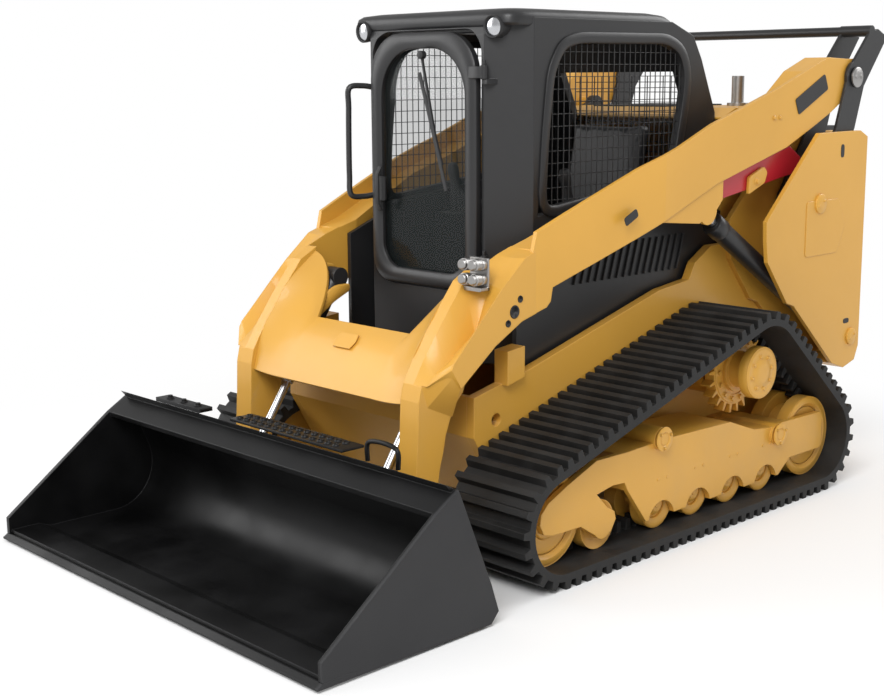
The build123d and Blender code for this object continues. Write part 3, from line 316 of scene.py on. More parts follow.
class StageSettings(bpy.types.PropertyGroup):
    """Where the camera stands and how bright the studio is."""

    camera_place: FloatVectorProperty(name="Camera", description="Camera place", subtype="TRANSLATION",
                                      unit="LENGTH", size=3, default=(4.145, -4.314, 1.84))
    camera_turn: FloatProperty(name="Azimuth", description="Camera turn about the machine", subtype="ANGLE",
                               default=radians(46.26))
    camera_dip: FloatProperty(name="Dip", description="How far the camera looks down", subtype="ANGLE",
                              default=radians(10.97))
    camera_roll: FloatProperty(name="Roll", description="Camera roll", subtype="ANGLE", default=-0.007)
    lens: FloatProperty(name="Lens", description="Focal length", subtype="DISTANCE_CAMERA", default=56.75)
    sky: FloatProperty(name="Sky", description="Strength of the light from all round", default=0.55, min=0.0)
    key: FloatProperty(name="Key", description="Power of the large main lamp", default=460.0, min=0.0,
                       unit="POWER")


# Surfaces -----------------------------------------------------------------------------------

class Shape:
    """Grids of points that become one mesh."""

    def __init__(self):
        self.points = []
        self.faces = []
        self.count = 0

    def grid(self, points, around=False, along=False, caps=False):
        """A surface over a grid of rows and columns.

        around joins the last column to the first, along joins the last row to the first, and caps
        closes the first and last rows with flat faces.
        """
        rows, columns = points.shape[:2]
        first = self.count
        self.points.append(np.asarray(points, dtype=float).reshape(-1, 3))
        self.count += rows * columns
        i = np.arange(rows if along else rows - 1)[:, None]
        j = np.arange(columns if around else columns - 1)[None, :]
        next_i, next_j = (i + 1) % rows, (j + 1) % columns
        corners = (i * columns + j, i * columns + next_j, next_i * columns + next_j, next_i * columns + j)
        quads = np.stack(np.broadcast_arrays(*corners), -1).reshape(-1, 4) + first
        self.faces.extend(quads.tolist())
        if caps:
            ring = np.arange(columns)
            self.faces.append((ring[::-1] + first).tolist())
            self.faces.append((ring + first + (rows - 1) * columns).tolist())
        return self

    def tube(self, points):
        """A closed solid: each row is a ring, and the first and last are capped."""
        return self.grid(points, around=True, caps=True)

    def turned(self, profile, centre, axis, sides=32, caps=True):
        """A turned piece, from points (along, radius) of its profile."""
        return self.grid(lathe(profile, centre, axis, sides), around=True, caps=caps)

    def bar(self, path, half_width, half_height, sides=8, power=1.0):
        """A bar along a path."""
        return self.tube(sweep(path, half_width, half_height, sides, power))

    def plate(self, loop, near, far, edge=0.003):
        """A plate between two x: the outline is drawn in by edge at both faces, so its rim is eased."""
        sign = 1.0 if far > near else -1.0
        tight = inset(loop, edge)
        return self.tube(np.stack((upright(tight, near), upright(loop, near + sign * edge),
                                   upright(loop, far - sign * edge), upright(tight, far))))

    def block(self, low, high, edge=0.003):
        """A box with eased edges, between two corners."""
        low, high = np.minimum(low, high), np.maximum(low, high)
        loop = np.array(((low[1], low[2]), (high[1], low[2]), (high[1], high[2]), (low[1], high[2])))
        return self.plate(loop, low[0], high[0], min(edge, 0.4 * np.min(high - low)))

    def bolts(self, centres, axis, radius, height):
        """Hexagon heads on washers at many places."""
        washer = radius * 1.45
        profile = [(0.0, washer), (height * 0.3, washer), (height * 0.3, radius), (height, radius * 0.92)]
        for centre in centres:
            self.turned(profile, centre, axis, 6)
        return self

    def piece(self, name, body, slot, replaces=(), smooth=40.0):
        """Makes the object, gives it the finish of its slot and the body that it rides on."""
        mesh = bpy.data.meshes.new(name)
        mesh.from_pydata(np.concatenate(self.points).tolist(), [], self.faces)
        mesh.validate()
        mesh.shade_smooth()
        mesh.set_sharp_from_angle(angle=radians(smooth))
        piece = bpy.data.objects.new(name, mesh)
        bpy.context.scene.collection.objects.link(piece)
        graph = bmesh.new()
        graph.from_mesh(mesh)
        bmesh.ops.recalc_face_normals(graph, faces=graph.faces)
        graph.to_mesh(mesh)
        graph.free()
        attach(piece, body)
        mesh.materials.append(FINISHES[slot])
        if replaces:
            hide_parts(*replaces)
        return piece


def turn(count, start=0.0):
    """Angles that go once round in equal steps."""
    return start + np.linspace(0.0, 2 * pi, count, endpoint=False)


def squared(angle, power):
    """Cosine and sine, each raised to a power with its sign kept: 1 is a circle, less is squarer."""
    c, s = np.cos(angle), np.sin(angle)
    return np.sign(c) * np.abs(c) ** power, np.sign(s) * np.abs(s) ** power


def axes_about(direction):
    """A unit direction, and two unit vectors at right angles to it and to each other."""
    direction = np.asarray(direction, dtype=float)
    direction = direction / np.linalg.norm(direction)
    helper = np.array((0.0, 0.0, 1.0)) if abs(direction[2]) < 0.9 else np.array((1.0, 0.0, 0.0))
    first = np.cross(helper, direction)
    first /= np.linalg.norm(first)
    return direction, first, np.cross(direction, first)


def lathe(profile, centre, axis, sides):
    """A turned surface: centre + along * axis + radius * (cos a * u + sin a * v), for a round the axis."""
    along, radius = np.asarray(profile, dtype=float).T
    direction, u, v = axes_about(axis)
    angle = turn(sides)
    spoke = np.cos(angle)[:, None] * u + np.sin(angle)[:, None] * v
    return np.asarray(centre) + along[:, None, None] * direction + radius[:, None, None] * spoke[None]


def sweep(path, half_width, half_height, sides, power):
    """A bar along a path: each section is a ring (w cos a, h sin a) squared off by power < 1."""
    path = np.asarray(path, dtype=float)
    tangent = np.gradient(path, axis=0)
    tangent /= np.linalg.norm(tangent, axis=1)[:, None]
    first = axes_about(tangent[0])[1]
    side = first - (tangent @ first)[:, None] * tangent
    side /= np.linalg.norm(side, axis=1)[:, None]
    up = np.cross(tangent, side)
    across, height = squared(turn(sides, pi / sides), power)
    across, height = across[:, None] * half_width, height[:, None] * half_height
    return path[:, None] + across * side[:, None] + height * up[:, None]


def smooth_line(points, steps):
    """A Catmull-Rom line through points: each span is the cubic of its four nearest points."""
    points = np.asarray(points, dtype=float)
    padded = np.concatenate((2 * points[:1] - points[1:2], points, 2 * points[-1:] - points[-2:-1]))
    t = np.linspace(0.0, 1.0, steps, endpoint=False)[None, :, None]
    a, b, c, d = (padded[k:len(padded) - 3 + k, None] for k in range(4))
    line = 0.5 * (2 * b + (c - a) * t + (2 * a - 5 * b + 4 * c - d) * t**2 + (3 * b - a - 3 * c + d) * t**3)
    return np.concatenate((line.reshape(-1, points.shape[1]), points[-1:]))


def rounded_loop(points, radius, steps=5):
    """A closed outline with its corners rounded: a quadratic from edge to edge at each corner."""
    points = np.asarray(points, dtype=float)
    before, after = np.roll(points, 1, axis=0) - points, np.roll(points, -1, axis=0) - points
    length_before, length_after = (np.linalg.norm(edge, axis=1)[:, None] for edge in (before, after))
    cut = np.minimum(radius, 0.45 * np.minimum(length_before, length_after))
    start, end = points + before / length_before * cut, points + after / length_after * cut
    t = np.linspace(0.0, 1.0, steps)[None, :, None]
    corner = (1 - t) ** 2 * start[:, None] + 2 * t * (1 - t) * points[:, None] + t**2 * end[:, None]
    return corner.reshape(-1, 2)


def inset(loop, distance):
    """A closed outline moved inward, each corner along the mean of its two edges' normals."""
    tiny = 1e-12
    edge = np.roll(loop, -1, axis=0) - loop
    normal = np.stack((-edge[:, 1], edge[:, 0]), axis=1)
    normal /= np.linalg.norm(normal, axis=1)[:, None] + tiny
    mean = normal + np.roll(normal, 1, axis=0)
    mean /= np.linalg.norm(mean, axis=1)[:, None] + tiny
    area = np.sum(loop[:, 0] * np.roll(loop[:, 1], -1) - np.roll(loop[:, 0], -1) * loop[:, 1])
    return loop + mean * distance * (1.0 if area > 0 else -1.0)


def upright(loop, x):
    """Outline points (y, z) placed at x."""
    return np.column_stack((np.full(len(loop), x), loop[:, 0], loop[:, 1]))


def facing(loop, y):
    """Outline points (x, z) placed at y."""
    return np.column_stack((loop[:, 0], np.full(len(loop), y), loop[:, 1]))


def band(outer, inner, section, stand):
    """A rolled band between two outlines: each (share, place) of its section lies that share of the way
    in, and stand puts it at that place."""
    return np.stack([stand(outer * (1 - share) + inner * share, place) for share, place in section])


def on_circle(centre, radius, count, start=0.0):
    """Places on a circle that faces along X."""
    angle = turn(count, start)
    ring = np.stack((np.zeros(count), np.cos(angle), np.sin(angle)), axis=1)
    return np.asarray(centre) + radius * ring


# Reading the frame --------------------------------------------------------------------------

def box(node):
    """The lowest and highest corner of a node, as arrays."""
    low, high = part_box(node)
    return np.array(low), np.array(high)


def middle(node):
    """The centre of a node's box."""
    low, high = box(node)
    return (low + high) / 2


def outer_face(node):
    """How far a node reaches to either side of the machine's middle."""
    low, high = box(node)
    return max(abs(low[0]), abs(high[0]))


def read(piece):
    """A mesh object's own vertices, as an array."""
    points = np.empty(len(piece.data.vertices) * 3)
    piece.data.vertices.foreach_get("co", points)
    return points.reshape(-1, 3)


def surface_points(node):
    """The vertices of a node's mesh, where they stand."""
    place = NODES[node].matrix_world
    return read(NODES[node]) @ np.array(place.to_3x3()).T + place.translation


def end_of(node, foot, axis):
    """How far a node's mesh goes from a pin along an axis."""
    return float(((surface_points(node) - (0, foot[1], foot[2])) @ axis).max())


def pin(joint):
    """Where a joint's axis stands."""
    return np.array(JOINTS[joint]["pos_m"])


def both(make):
    """Calls make(side, sign) for the left and the right of the machine."""
    for side, sign in (("left", 1.0), ("right", -1.0)):
        make(side, sign)


# Cab ----------------------------------------------------------------------------------------

# The side window's outline, as (y, z)
WINDOW = [(-0.262, 1.30), (-0.245, 1.60), (-0.212, 1.87), (-0.142, 1.975), (-0.041, 2.000), (0.531, 2.003),
          (0.640, 1.955), (0.688, 1.85), (0.668, 1.70), (0.600, 1.40)]


class LOADER_OT_roof(bpy.types.Operator):
    """The cab's roof: a crowned cap with a rolled edge, its overhang and two lamps"""

    bl_idname = "loader.roof"
    bl_label = "Roof"

    def execute(self, context):
        low, high = box("cab_roof")
        top = high[2]
        front, rear = low[1] + 0.012, high[1] + 0.075
        centre = np.array((0.0, (front + rear) / 2))
        reach = np.array((high[0] + 0.028, (rear - front) / 2))
        eave = top - 0.053
        plan = np.stack(squared(turn(96), 0.16), axis=1)
        # Rows: shrink of the plan, height over the eave; the rear third falls away with the square of y
        rows = [(0.93, -0.020), (0.985, -0.020), (1.0, -0.010), (1.0, 0.012), (0.992, 0.026), (0.96, 0.038),
                (0.86, 0.046), (0.6, 0.050), (0.3, 0.052)]
        points = []
        for shrink, rise in rows:
            xy = centre + plan * reach * shrink
            fall = np.clip((xy[:, 1] - 0.45) / 0.2, 0.0, 1.0) ** 2 * 0.030
            points.append(np.column_stack((xy, eave + rise - fall)))
        shell = Shape().tube(np.stack(points))
        y = np.linspace(front + 0.16, 0.40, 12)
        for x in (-0.24, 0.0, 0.24):
            shell.bar(np.column_stack((np.full(12, x), y, np.full(12, top - 0.006))), 0.03, 0.004, 8, 0.5)
        shell.piece("roof_cap", "chassis", "black_paint", replaces=("cab_roof",))
        both(self.lamp)
        return {"FINISHED"}

    def lamp(self, side, sign):
        """A round work lamp on a foot under the overhang, and its lens."""
        low = box("cab_roof")[0]
        centre = np.array((sign * LAMP_X, low[1] + 0.055, low[2] + 0.042))
        forward = np.array((sign * 0.10, -1.0, -0.08))
        shell = Shape()
        shell.turned([(-0.050, 0.018), (-0.045, 0.030), (-0.01, 0.040), (0.030, 0.044), (0.046, 0.044),
                      (0.050, 0.041), (0.046, 0.037), (0.030, 0.036)], centre, forward)
        shell.bar([centre + (0, 0, 0.02), centre + (0, 0.02, 0.055)], 0.012, 0.006, 8, 0.5)
        shell.piece(f"lamp_body_{side}", "chassis", "dark_plastic")
        lens = Shape().turned([(0.031, 0.0365), (0.040, 0.036), (0.046, 0.024), (0.048, 0.002)], centre,
                              forward)
        lens.piece(f"lamp_lens_{side}", "chassis", "chrome_rod")


class LOADER_OT_door(bpy.types.Operator):
    """The cab's front door: a rolled frame about its pane, with wiper, handles and hinges"""

    bl_idname = "loader.door"
    bl_label = "Front door"

    def execute(self, context):
        low, high = box("cab_door")
        glass_low, glass_high = box("door_glass")
        front = low[1] + 0.004
        outer = self.arch(glass_low[0] - 0.042, glass_high[0] + 0.042, low[2] + 0.004, high[2] - 0.004, 0.17)
        inner = self.arch(glass_low[0] + 0.02, glass_high[0] - 0.02, glass_low[2] + 0.02,
                          glass_high[2] - 0.02, 0.19)
        # The section runs from the outer back edge over a round front to the inner back edge
        section = [(0.0, 0.034), (0.0, 0.008), (0.12, 0.0), (0.5, -0.004), (0.88, 0.0), (1.0, 0.008),
                   (1.0, 0.022)]
        rolled = band(outer, inner, section, lambda loop, depth: facing(loop, front + depth))
        door = Shape().grid(rolled, around=True, along=True)
        x, y = pin("cab_door_swing")[:2]
        for z in (low[2] + 0.13, high[2] - 0.16):
            door.block((x - 0.07, front - 0.006, z - 0.022), (x, front + 0.004, z + 0.022))
            door.turned([(-0.028, 0.008), (-0.025, 0.015), (0.025, 0.015), (0.028, 0.008)], (x, y, z),
                        (0, 0, 1), 20)
        door.piece("door_frame", "front_door", "black_paint", replaces=("cab_door",))
        self.wiper(front)
        self.handles(front, low[0])
        return {"FINISHED"}

    def arch(self, x0, x1, z0, z1, top_radius):
        """A window outline: each corner is a quarter circle of 10 points, wider at the top."""
        radius = 0.10
        quarter = np.linspace(0, pi / 2, 10)
        c, s = np.cos(quarter), np.sin(quarter)
        corners = [
            (x1 - radius + radius * s, z0 + radius - radius * c),
            (x1 - top_radius + top_radius * c, z1 - top_radius + top_radius * s),
            (x0 + top_radius - top_radius * s, z1 - top_radius + top_radius * c),
            (x0 + radius - radius * c, z0 + radius - radius * s),
        ]
        return np.concatenate([np.column_stack(corner) for corner in corners])

    def wiper(self, front):
        """The wiper's bent arm and blade, and the boss at its pivot."""
        y = front - 0.010
        arm = smooth_line([(0.02, y, 1.93), (0.055, y - 0.004, 1.80), (0.10, y - 0.005, 1.62),
                           (0.135, y, 1.50)], 6)
        blade = smooth_line([(0.005, y + 0.001, 1.86), (0.06, y + 0.001, 1.70), (0.155, y + 0.001, 1.40)], 6)
        wiper = Shape().bar(arm, 0.006, 0.004, 8, 0.5).bar(blade, 0.004, 0.009, 8, 0.5)
        wiper.turned([(-0.012, 0.016), (0.010, 0.016), (0.014, 0.008)], (0.02, y, 1.93), (0, -1, 0), 20)
        wiper.piece("wiper", "front_door", "dark_plastic")

    def handles(self, front, edge):
        """The grab loop beside the door, a bent tube between two feet, and the grip on the door."""
        x, y, foot = edge - 0.045, front - 0.055, front + 0.06
        loop = [(x + 0.03, foot, 1.80), (x, front, 1.81), (x - 0.02, y, 1.80), (x - 0.025, y, 1.72),
                (x - 0.028, y, 1.58), (x - 0.028, y, 1.44), (x - 0.02, y, 1.36), (x, front, 1.35),
                (x + 0.03, foot, 1.36)]
        rail = Shape().bar(smooth_line(loop, 6), 0.012, 0.012, 12)
        rail.piece("grab_rail", "chassis", "black_paint")
        near, far = front - 0.012, front - 0.030
        path = [(-0.235, near, 1.30), (-0.235, far, 1.33), (-0.235, far, 1.45), (-0.235, near, 1.48)]
        grip = Shape().bar(path, 0.010, 0.007, 8, 0.7)
        grip.block((-0.262, front - 0.010, 1.34), (-0.215, front + 0.004, 1.44))
        grip.piece("door_handle", "front_door", "dark_plastic")


class LOADER_OT_guards(bpy.types.Operator):
    """The mesh guards on the side and rear windows, with the rims that hold them"""

    bl_idname = "loader.guards"
    bl_label = "Window guards"

    def execute(self, context):
        both(self.side_guard)
        self.rear_guard()
        return {"FINISHED"}

    def side_guard(self, side, sign):
        """A rolled rim about the side window, and two layers of wires within it."""
        sizes = bpy.context.scene.loader_fittings
        wall = sign * (outer_face(f"side_guard_{side}") - 0.005)
        loop = rounded_loop(WINDOW, 0.10)
        section = ((0.0, -0.004), (0.0, 0.006), (0.15, 0.010), (0.8, 0.010), (1.0, 0.004), (1.0, -0.030))
        rolled = band(inset(loop, -0.014), inset(loop, 0.030), section,
                      lambda ring, depth: upright(ring, wall + sign * depth))
        rim = Shape().grid(rolled, around=True, along=True)
        rim.piece(f"window_rim_{side}", "chassis", "black_paint")
        x = wall - sign * 0.012
        field = inset(loop, 0.026)
        mesh = Shape()
        self.wires(mesh, field, 0, sizes.upright_pitch, x, sizes.wire)
        self.wires(mesh, field, 1, sizes.level_pitch, x - sign * 0.0035, sizes.wire)
        mesh.piece(f"window_mesh_{side}", "chassis", "black_paint", replaces=(f"side_guard_{side}",))

    def wires(self, mesh, loop, axis, pitch, x, radius):
        """Straight wires across an outline: each runs between the first and last crossing of its line."""
        start, end = loop, np.roll(loop, -1, axis=0)
        for place in np.arange(loop[:, axis].min() + pitch / 2, loop[:, axis].max(), pitch):
            a, b = start[:, axis] - place, end[:, axis] - place
            crossing = a * b < 0
            share = a[crossing] / (a[crossing] - b[crossing])
            other = start[crossing, 1 - axis] + share * (end[crossing, 1 - axis] - start[crossing, 1 - axis])
            if len(other) < 2:
                continue
            path = np.zeros((2, 3))
            path[:, 0] = x
            path[:, 1 + axis] = place
            path[:, 2 - axis] = other.min(), other.max()
            mesh.bar(path, radius, radius, 4)

    def rear_guard(self):
        """A mesh across the opening behind the seat."""
        low, high = box("rear_window")
        wire, pitch = 0.0025, 0.045
        y = high[1] + 0.014
        bottom, top = low[2] + 0.01, high[2] + 0.17
        mesh = Shape()
        for x in np.arange(low[0] + 0.02, high[0], pitch):
            mesh.bar([(x, y, bottom), (x, y, top)], wire, wire, 4)
        for z in np.arange(bottom + 0.02, top, pitch):
            mesh.bar([(low[0], y - 0.004, z), (high[0], y - 0.004, z)], wire, wire, 4)
        mesh.piece("rear_mesh", "chassis", "black_paint")


class LOADER_OT_interior(bpy.types.Operator):
    """What shows through the panes: levers, armrest pads, a display and the padded seat"""

    bl_idname = "loader.interior"
    bl_label = "Cab interior"

    def execute(self, context):
        both(self.lever)
        screen = Shape().block((0.20, -0.32, 1.62), (0.36, -0.28, 1.76), 0.008)
        screen.bar([(0.30, -0.29, 1.66), (0.38, -0.22, 1.60), (0.42, -0.18, 1.55)], 0.012, 0.012)
        screen.piece("display", "chassis", "dark_plastic")
        shrink, rim = 0.012, 0.02
        low, high = box("seat_cushion")
        self.cushion("seat_cushion", Shape().block(low + shrink, high - shrink, rim))
        low, high = box("seat_backrest")
        leaning = np.array(((0.600, 1.09), (0.690, 1.09), (0.775, 1.625), (0.712, 1.625)))
        self.cushion("seat_backrest", Shape().plate(leaning, low[0] + shrink, high[0] - shrink, rim))
        return {"FINISHED"}

    def lever(self, side, sign):
        """A control lever with its boot, and the armrest pad behind it."""
        x, y, z = sign * 0.33, 0.05, box("seat_platform")[1][2]
        profile = [(-0.20, 0.030), (-0.12, 0.034), (-0.09, 0.022), (-0.04, 0.019), (0.0, 0.024),
                   (0.03, 0.026), (0.052, 0.018), (0.058, 0.004)]
        lever = Shape().turned(profile, (x, y, z), (0, -0.25, 1.0), 24)
        lever.piece(f"lever_{side}", "chassis", "dark_plastic")
        pad = Shape().block((x - 0.05, 0.12, z - 0.165), (x + 0.05, 0.42, z - 0.125), 0.012)
        pad.piece(f"armrest_{side}", "chassis", "seat_vinyl")

    def cushion(self, node, shape):
        """Swells a slightly smaller copy of the cushion's solid into a crowned pad by cloth pressure."""
        pad = shape.piece(node + "_pad", "chassis", "seat_vinyl", replaces=(node,), smooth=80.0)
        inflate(pad, bpy.context.scene.loader_fittings.pad_rise)


def inflate(pad, cap):
    """Cloth pressure on a remeshed copy; no point moves more than cap, and one subdivision follows."""
    remesh = pad.modifiers.new("remesh", "REMESH")
    remesh.mode = "VOXEL"
    remesh.voxel_size = 0.006
    bake(pad)
    before = read(pad)
    cloth = pad.modifiers.new("cloth", "CLOTH")
    cloth.settings.use_pressure = True
    cloth.settings.uniform_pressure_force = 4.0
    cloth.settings.effector_weights.gravity = 0.0
    for step in range(1, 21):
        bpy.context.scene.frame_set(step)
    bake(pad)
    bpy.context.scene.frame_set(1)
    moved = read(pad) - before
    tiny = 1e-9
    length = np.linalg.norm(moved, axis=1)[:, None] + tiny
    held = before + moved * np.minimum(1.0, cap / length)
    pad.data.vertices.foreach_set("co", held.ravel())
    subdivide = pad.modifiers.new("smooth", "SUBSURF")
    subdivide.levels = subdivide.render_levels = 1
    pad.data.shade_smooth()


def bake(piece):
    """Puts what the modifiers give into the piece's own mesh and clears them."""
    graph = bpy.context.evaluated_depsgraph_get()
    mesh = bpy.data.meshes.new_from_object(piece.evaluated_get(graph))
    piece.modifiers.clear()
    old = piece.data
    piece.data = mesh
    mesh.name = old.name
    bpy.data.meshes.remove(old)


# Arms' cross plate --------------------------------------------------------------------------

class LOADER_OT_crossplate(bpy.types.Operator):
    """The bent plate between the arms, as one smooth saddle, with the ears that carry the tilt cylinders"""

    bl_idname = "loader.crossplate"
    bl_label = "Cross plate"

    def execute(self, context):
        edge = box("arm_cross_plate")[1][0]
        # Three sections (y, z) of the front line, at the dip, the shoulder and the leg
        dip, shoulder, leg = np.array((280.0, 355.0, 457.0)) * 0.001
        sections = np.array((
            ((-985, 660), (-940, 735), (-890, 800), (-840, 848), (-784, 882)),
            ((-985, 660), (-930, 765), (-850, 868), (-755, 962), (-668, 1022)),
            ((-985, 668), (-935, 827), (-870, 918), (-795, 1015), (-645, 1128)),
        )) * 0.001
        lines = np.stack([smooth_line(section, 6) for section in sections])
        x = np.concatenate((np.linspace(0.0, 0.24, 7), np.linspace(0.26, edge, 22)))
        share = np.clip((x - dip) / (leg - dip), 0.0, 1.0)
        middle = (shoulder - dip) / (leg - dip)
        # The parabola through the three sections, as the weight of each
        weight = np.stack((
            (share - middle) * (share - 1.0) / middle,
            share * (share - 1.0) / (middle * (middle - 1.0)),
            share * (share - middle) / (1.0 - middle),
        ))
        yz = np.einsum("kx,kpc->xpc", weight, lines)
        skin = np.concatenate((np.broadcast_to(x[:, None, None], yz.shape[:2] + (1,)), yz), axis=2)
        tangent = np.gradient(yz, axis=1)
        normal = np.stack((np.zeros(yz.shape[:2]), tangent[..., 1], -tangent[..., 0]), axis=2)
        normal /= np.linalg.norm(normal, axis=2)[..., None]
        back = skin + normal * 0.016
        half = np.concatenate((skin, back[:, ::-1]), axis=1)
        mirrored = half * (-1.0, 1.0, 1.0)
        sheet = Shape().tube(np.concatenate((mirrored[:0:-1], half)))
        both(lambda side, sign: self.ears(sheet, sign))
        sheet.piece("cross_plate", "lift_arms", "yellow_paint", replaces=("arm_cross_plate",), smooth=50.0)
        self.badge()
        return {"FINISHED"}

    def ears(self, sheet, sign):
        """The two ears about a tilt cylinder's foot, and the cap on its pin."""
        foot = pin("tilt_barrel_swing")
        x = sign * TILT_X
        inner = [(-0.566, 0.992), (-0.566, 0.962), (-0.650, 0.925), (-0.800, 0.825), (-0.835, 0.845),
                 (-0.760, 0.920), (-0.680, 0.975), (-0.640, 0.992)]
        outer = [(-0.560, 1.065), (-0.560, 0.975), (-0.650, 0.940), (-0.800, 0.835), (-0.860, 0.885),
                 (-0.778, 0.985), (-0.652, 1.085)]
        for loop, near in ((inner, -0.057), (outer, 0.042)):
            sheet.plate(rounded_loop(loop, 0.02), x + sign * near, x + sign * (near + 0.015))
        sheet.turned([(0.0, 0.034), (0.006, 0.034), (0.008, 0.02)], (x + sign * 0.057, foot[1], foot[2]),
                     (sign, 0, 0), 24)

    def badge(self):
        """A bare plate on the slope of the dip."""
        centre = np.array((0.0, -0.868, 0.829))
        along = np.array((0.0, 0.05, 0.048))
        out = np.array((0.0, -0.69, 0.72))
        corners = [(-0.05, -0.5), (0.05, -0.5), (0.06, 0.0), (0.05, 0.5), (-0.05, 0.5), (-0.06, 0.0)]
        ring = np.array([centre + np.array((x, 0, 0)) + along * v for x, v in corners])
        bare = Shape().tube(np.stack((ring + out * 0.001, ring + out * 0.005)))
        bare.piece("bare_badge", "lift_arms", "yellow_paint")


# Undercarriage ------------------------------------------------------------------------------

class LOADER_OT_wheels(bpy.types.Operator):
    """Dished faces, hub caps and bolts on the rollers, idlers, sprocket and travel motor"""

    bl_idname = "loader.wheels"
    bl_label = "Wheels"

    def execute(self, context):
        both(self.rollers)
        both(self.idlers)
        both(self.motor)
        both(self.frame_caps)
        return {"FINISHED"}

    def rollers(self, side, sign):
        """Each roller shows a rounded rim, a dish and a capped hub with a plug."""
        shape = Shape()
        profile = [(-0.012, 0.0978), (-0.004, 0.0975), (0.002, 0.094), (0.002, 0.078), (-0.004, 0.060),
                   (-0.030, 0.050), (-0.030, 0.050), (-0.010, 0.047), (0.000, 0.040), (0.004, 0.030),
                   (0.004, 0.016), (0.008, 0.014), (0.008, 0.002)]
        for y in ROLLER_PLACES:
            shape.turned(profile, (sign * WHEEL_FACE, y, ROLLER_Z), (sign, 0, 0), 40)
        shape.piece(f"roller_faces_{side}", "chassis", "yellow_paint")

    def idlers(self, side, sign):
        """Each idler shows a rolled rim, a deep dish and a hub."""
        shape = Shape()
        profile = [(-0.010, 0.1785), (-0.002, 0.1765), (0.003, 0.168), (0.003, 0.150), (-0.006, 0.142),
                   (-0.016, 0.120), (-0.018, 0.090), (-0.010, 0.075), (0.002, 0.070), (0.004, 0.060),
                   (0.004, 0.006)]
        for node in ("front_idler", "rear_idler"):
            y, z = middle(f"{node}_{side}")[1:]
            shape.turned(profile, (sign * WHEEL_FACE, y, z), (sign, 0, 0), 56)
        shape.piece(f"idler_faces_{side}", "chassis", "yellow_paint")

    def motor(self, side, sign):
        """The domed motor cover with its flange bolts, and the ring of bolts that hold the sprocket."""
        y, z = middle("drive_sprocket_left")[1:]
        out = (sign, 0, 0)
        profile = [(-0.046, 0.108), (-0.044, 0.111), (-0.030, 0.1115), (-0.006, 0.111), (0.000, 0.106),
                   (0.003, 0.098), (0.001, 0.088), (0.001, 0.060), (0.005, 0.055), (0.007, 0.030),
                   (0.007, 0.003)]
        centre = (sign * outer_face(f"travel_motor_{side}"), y, z)
        cover = Shape().turned(profile, centre, out, 56)
        cover.bolts(on_circle(centre, 0.072, 8, 0.2), out, 0.0075, 0.008)
        cover.piece(f"motor_cover_{side}", "chassis", "yellow_paint")
        centre = (sign * outer_face(f"drive_sprocket_{side}"), y, z)
        ring = Shape().bolts(on_circle(centre, 0.130, 14), out, 0.011, 0.014)
        ring.turned([(-0.002, 0.150), (0.004, 0.148), (0.004, 0.112), (-0.002, 0.110)], centre, out, 56,
                    caps=False)
        ring.piece(f"sprocket_bolts_{side}", "chassis", "yellow_paint")

    def frame_caps(self, side, sign):
        """Two caps with their bolts on the undercarriage's outer face, and two bolts over each roller."""
        face = sign * outer_face(f"undercarriage_frame_{side}")
        out = (sign, 0, 0)
        shape = Shape()
        for y, z in ((-0.015, 0.440), (0.812, 0.307)):
            centre = (face, y, z)
            shape.turned([(-0.004, 0.050), (0.001, 0.050), (0.003, 0.046), (0.003, 0.030), (-0.001, 0.026),
                          (-0.001, 0.004)], centre, out, 40)
            shape.bolts(on_circle(centre, 0.038, 3, 0.4), out, 0.005, 0.010)
        heads = [(sign * (BRACKET_FACE + 0.018), y + shift, ROLLER_Z + 0.112)
                 for y in ROLLER_PLACES for shift in (-0.028, 0.028)]
        shape.bolts(heads, out, 0.007, 0.008)
        shape.piece(f"frame_caps_{side}", "chassis", "yellow_paint")


# Bucket -------------------------------------------------------------------------------------

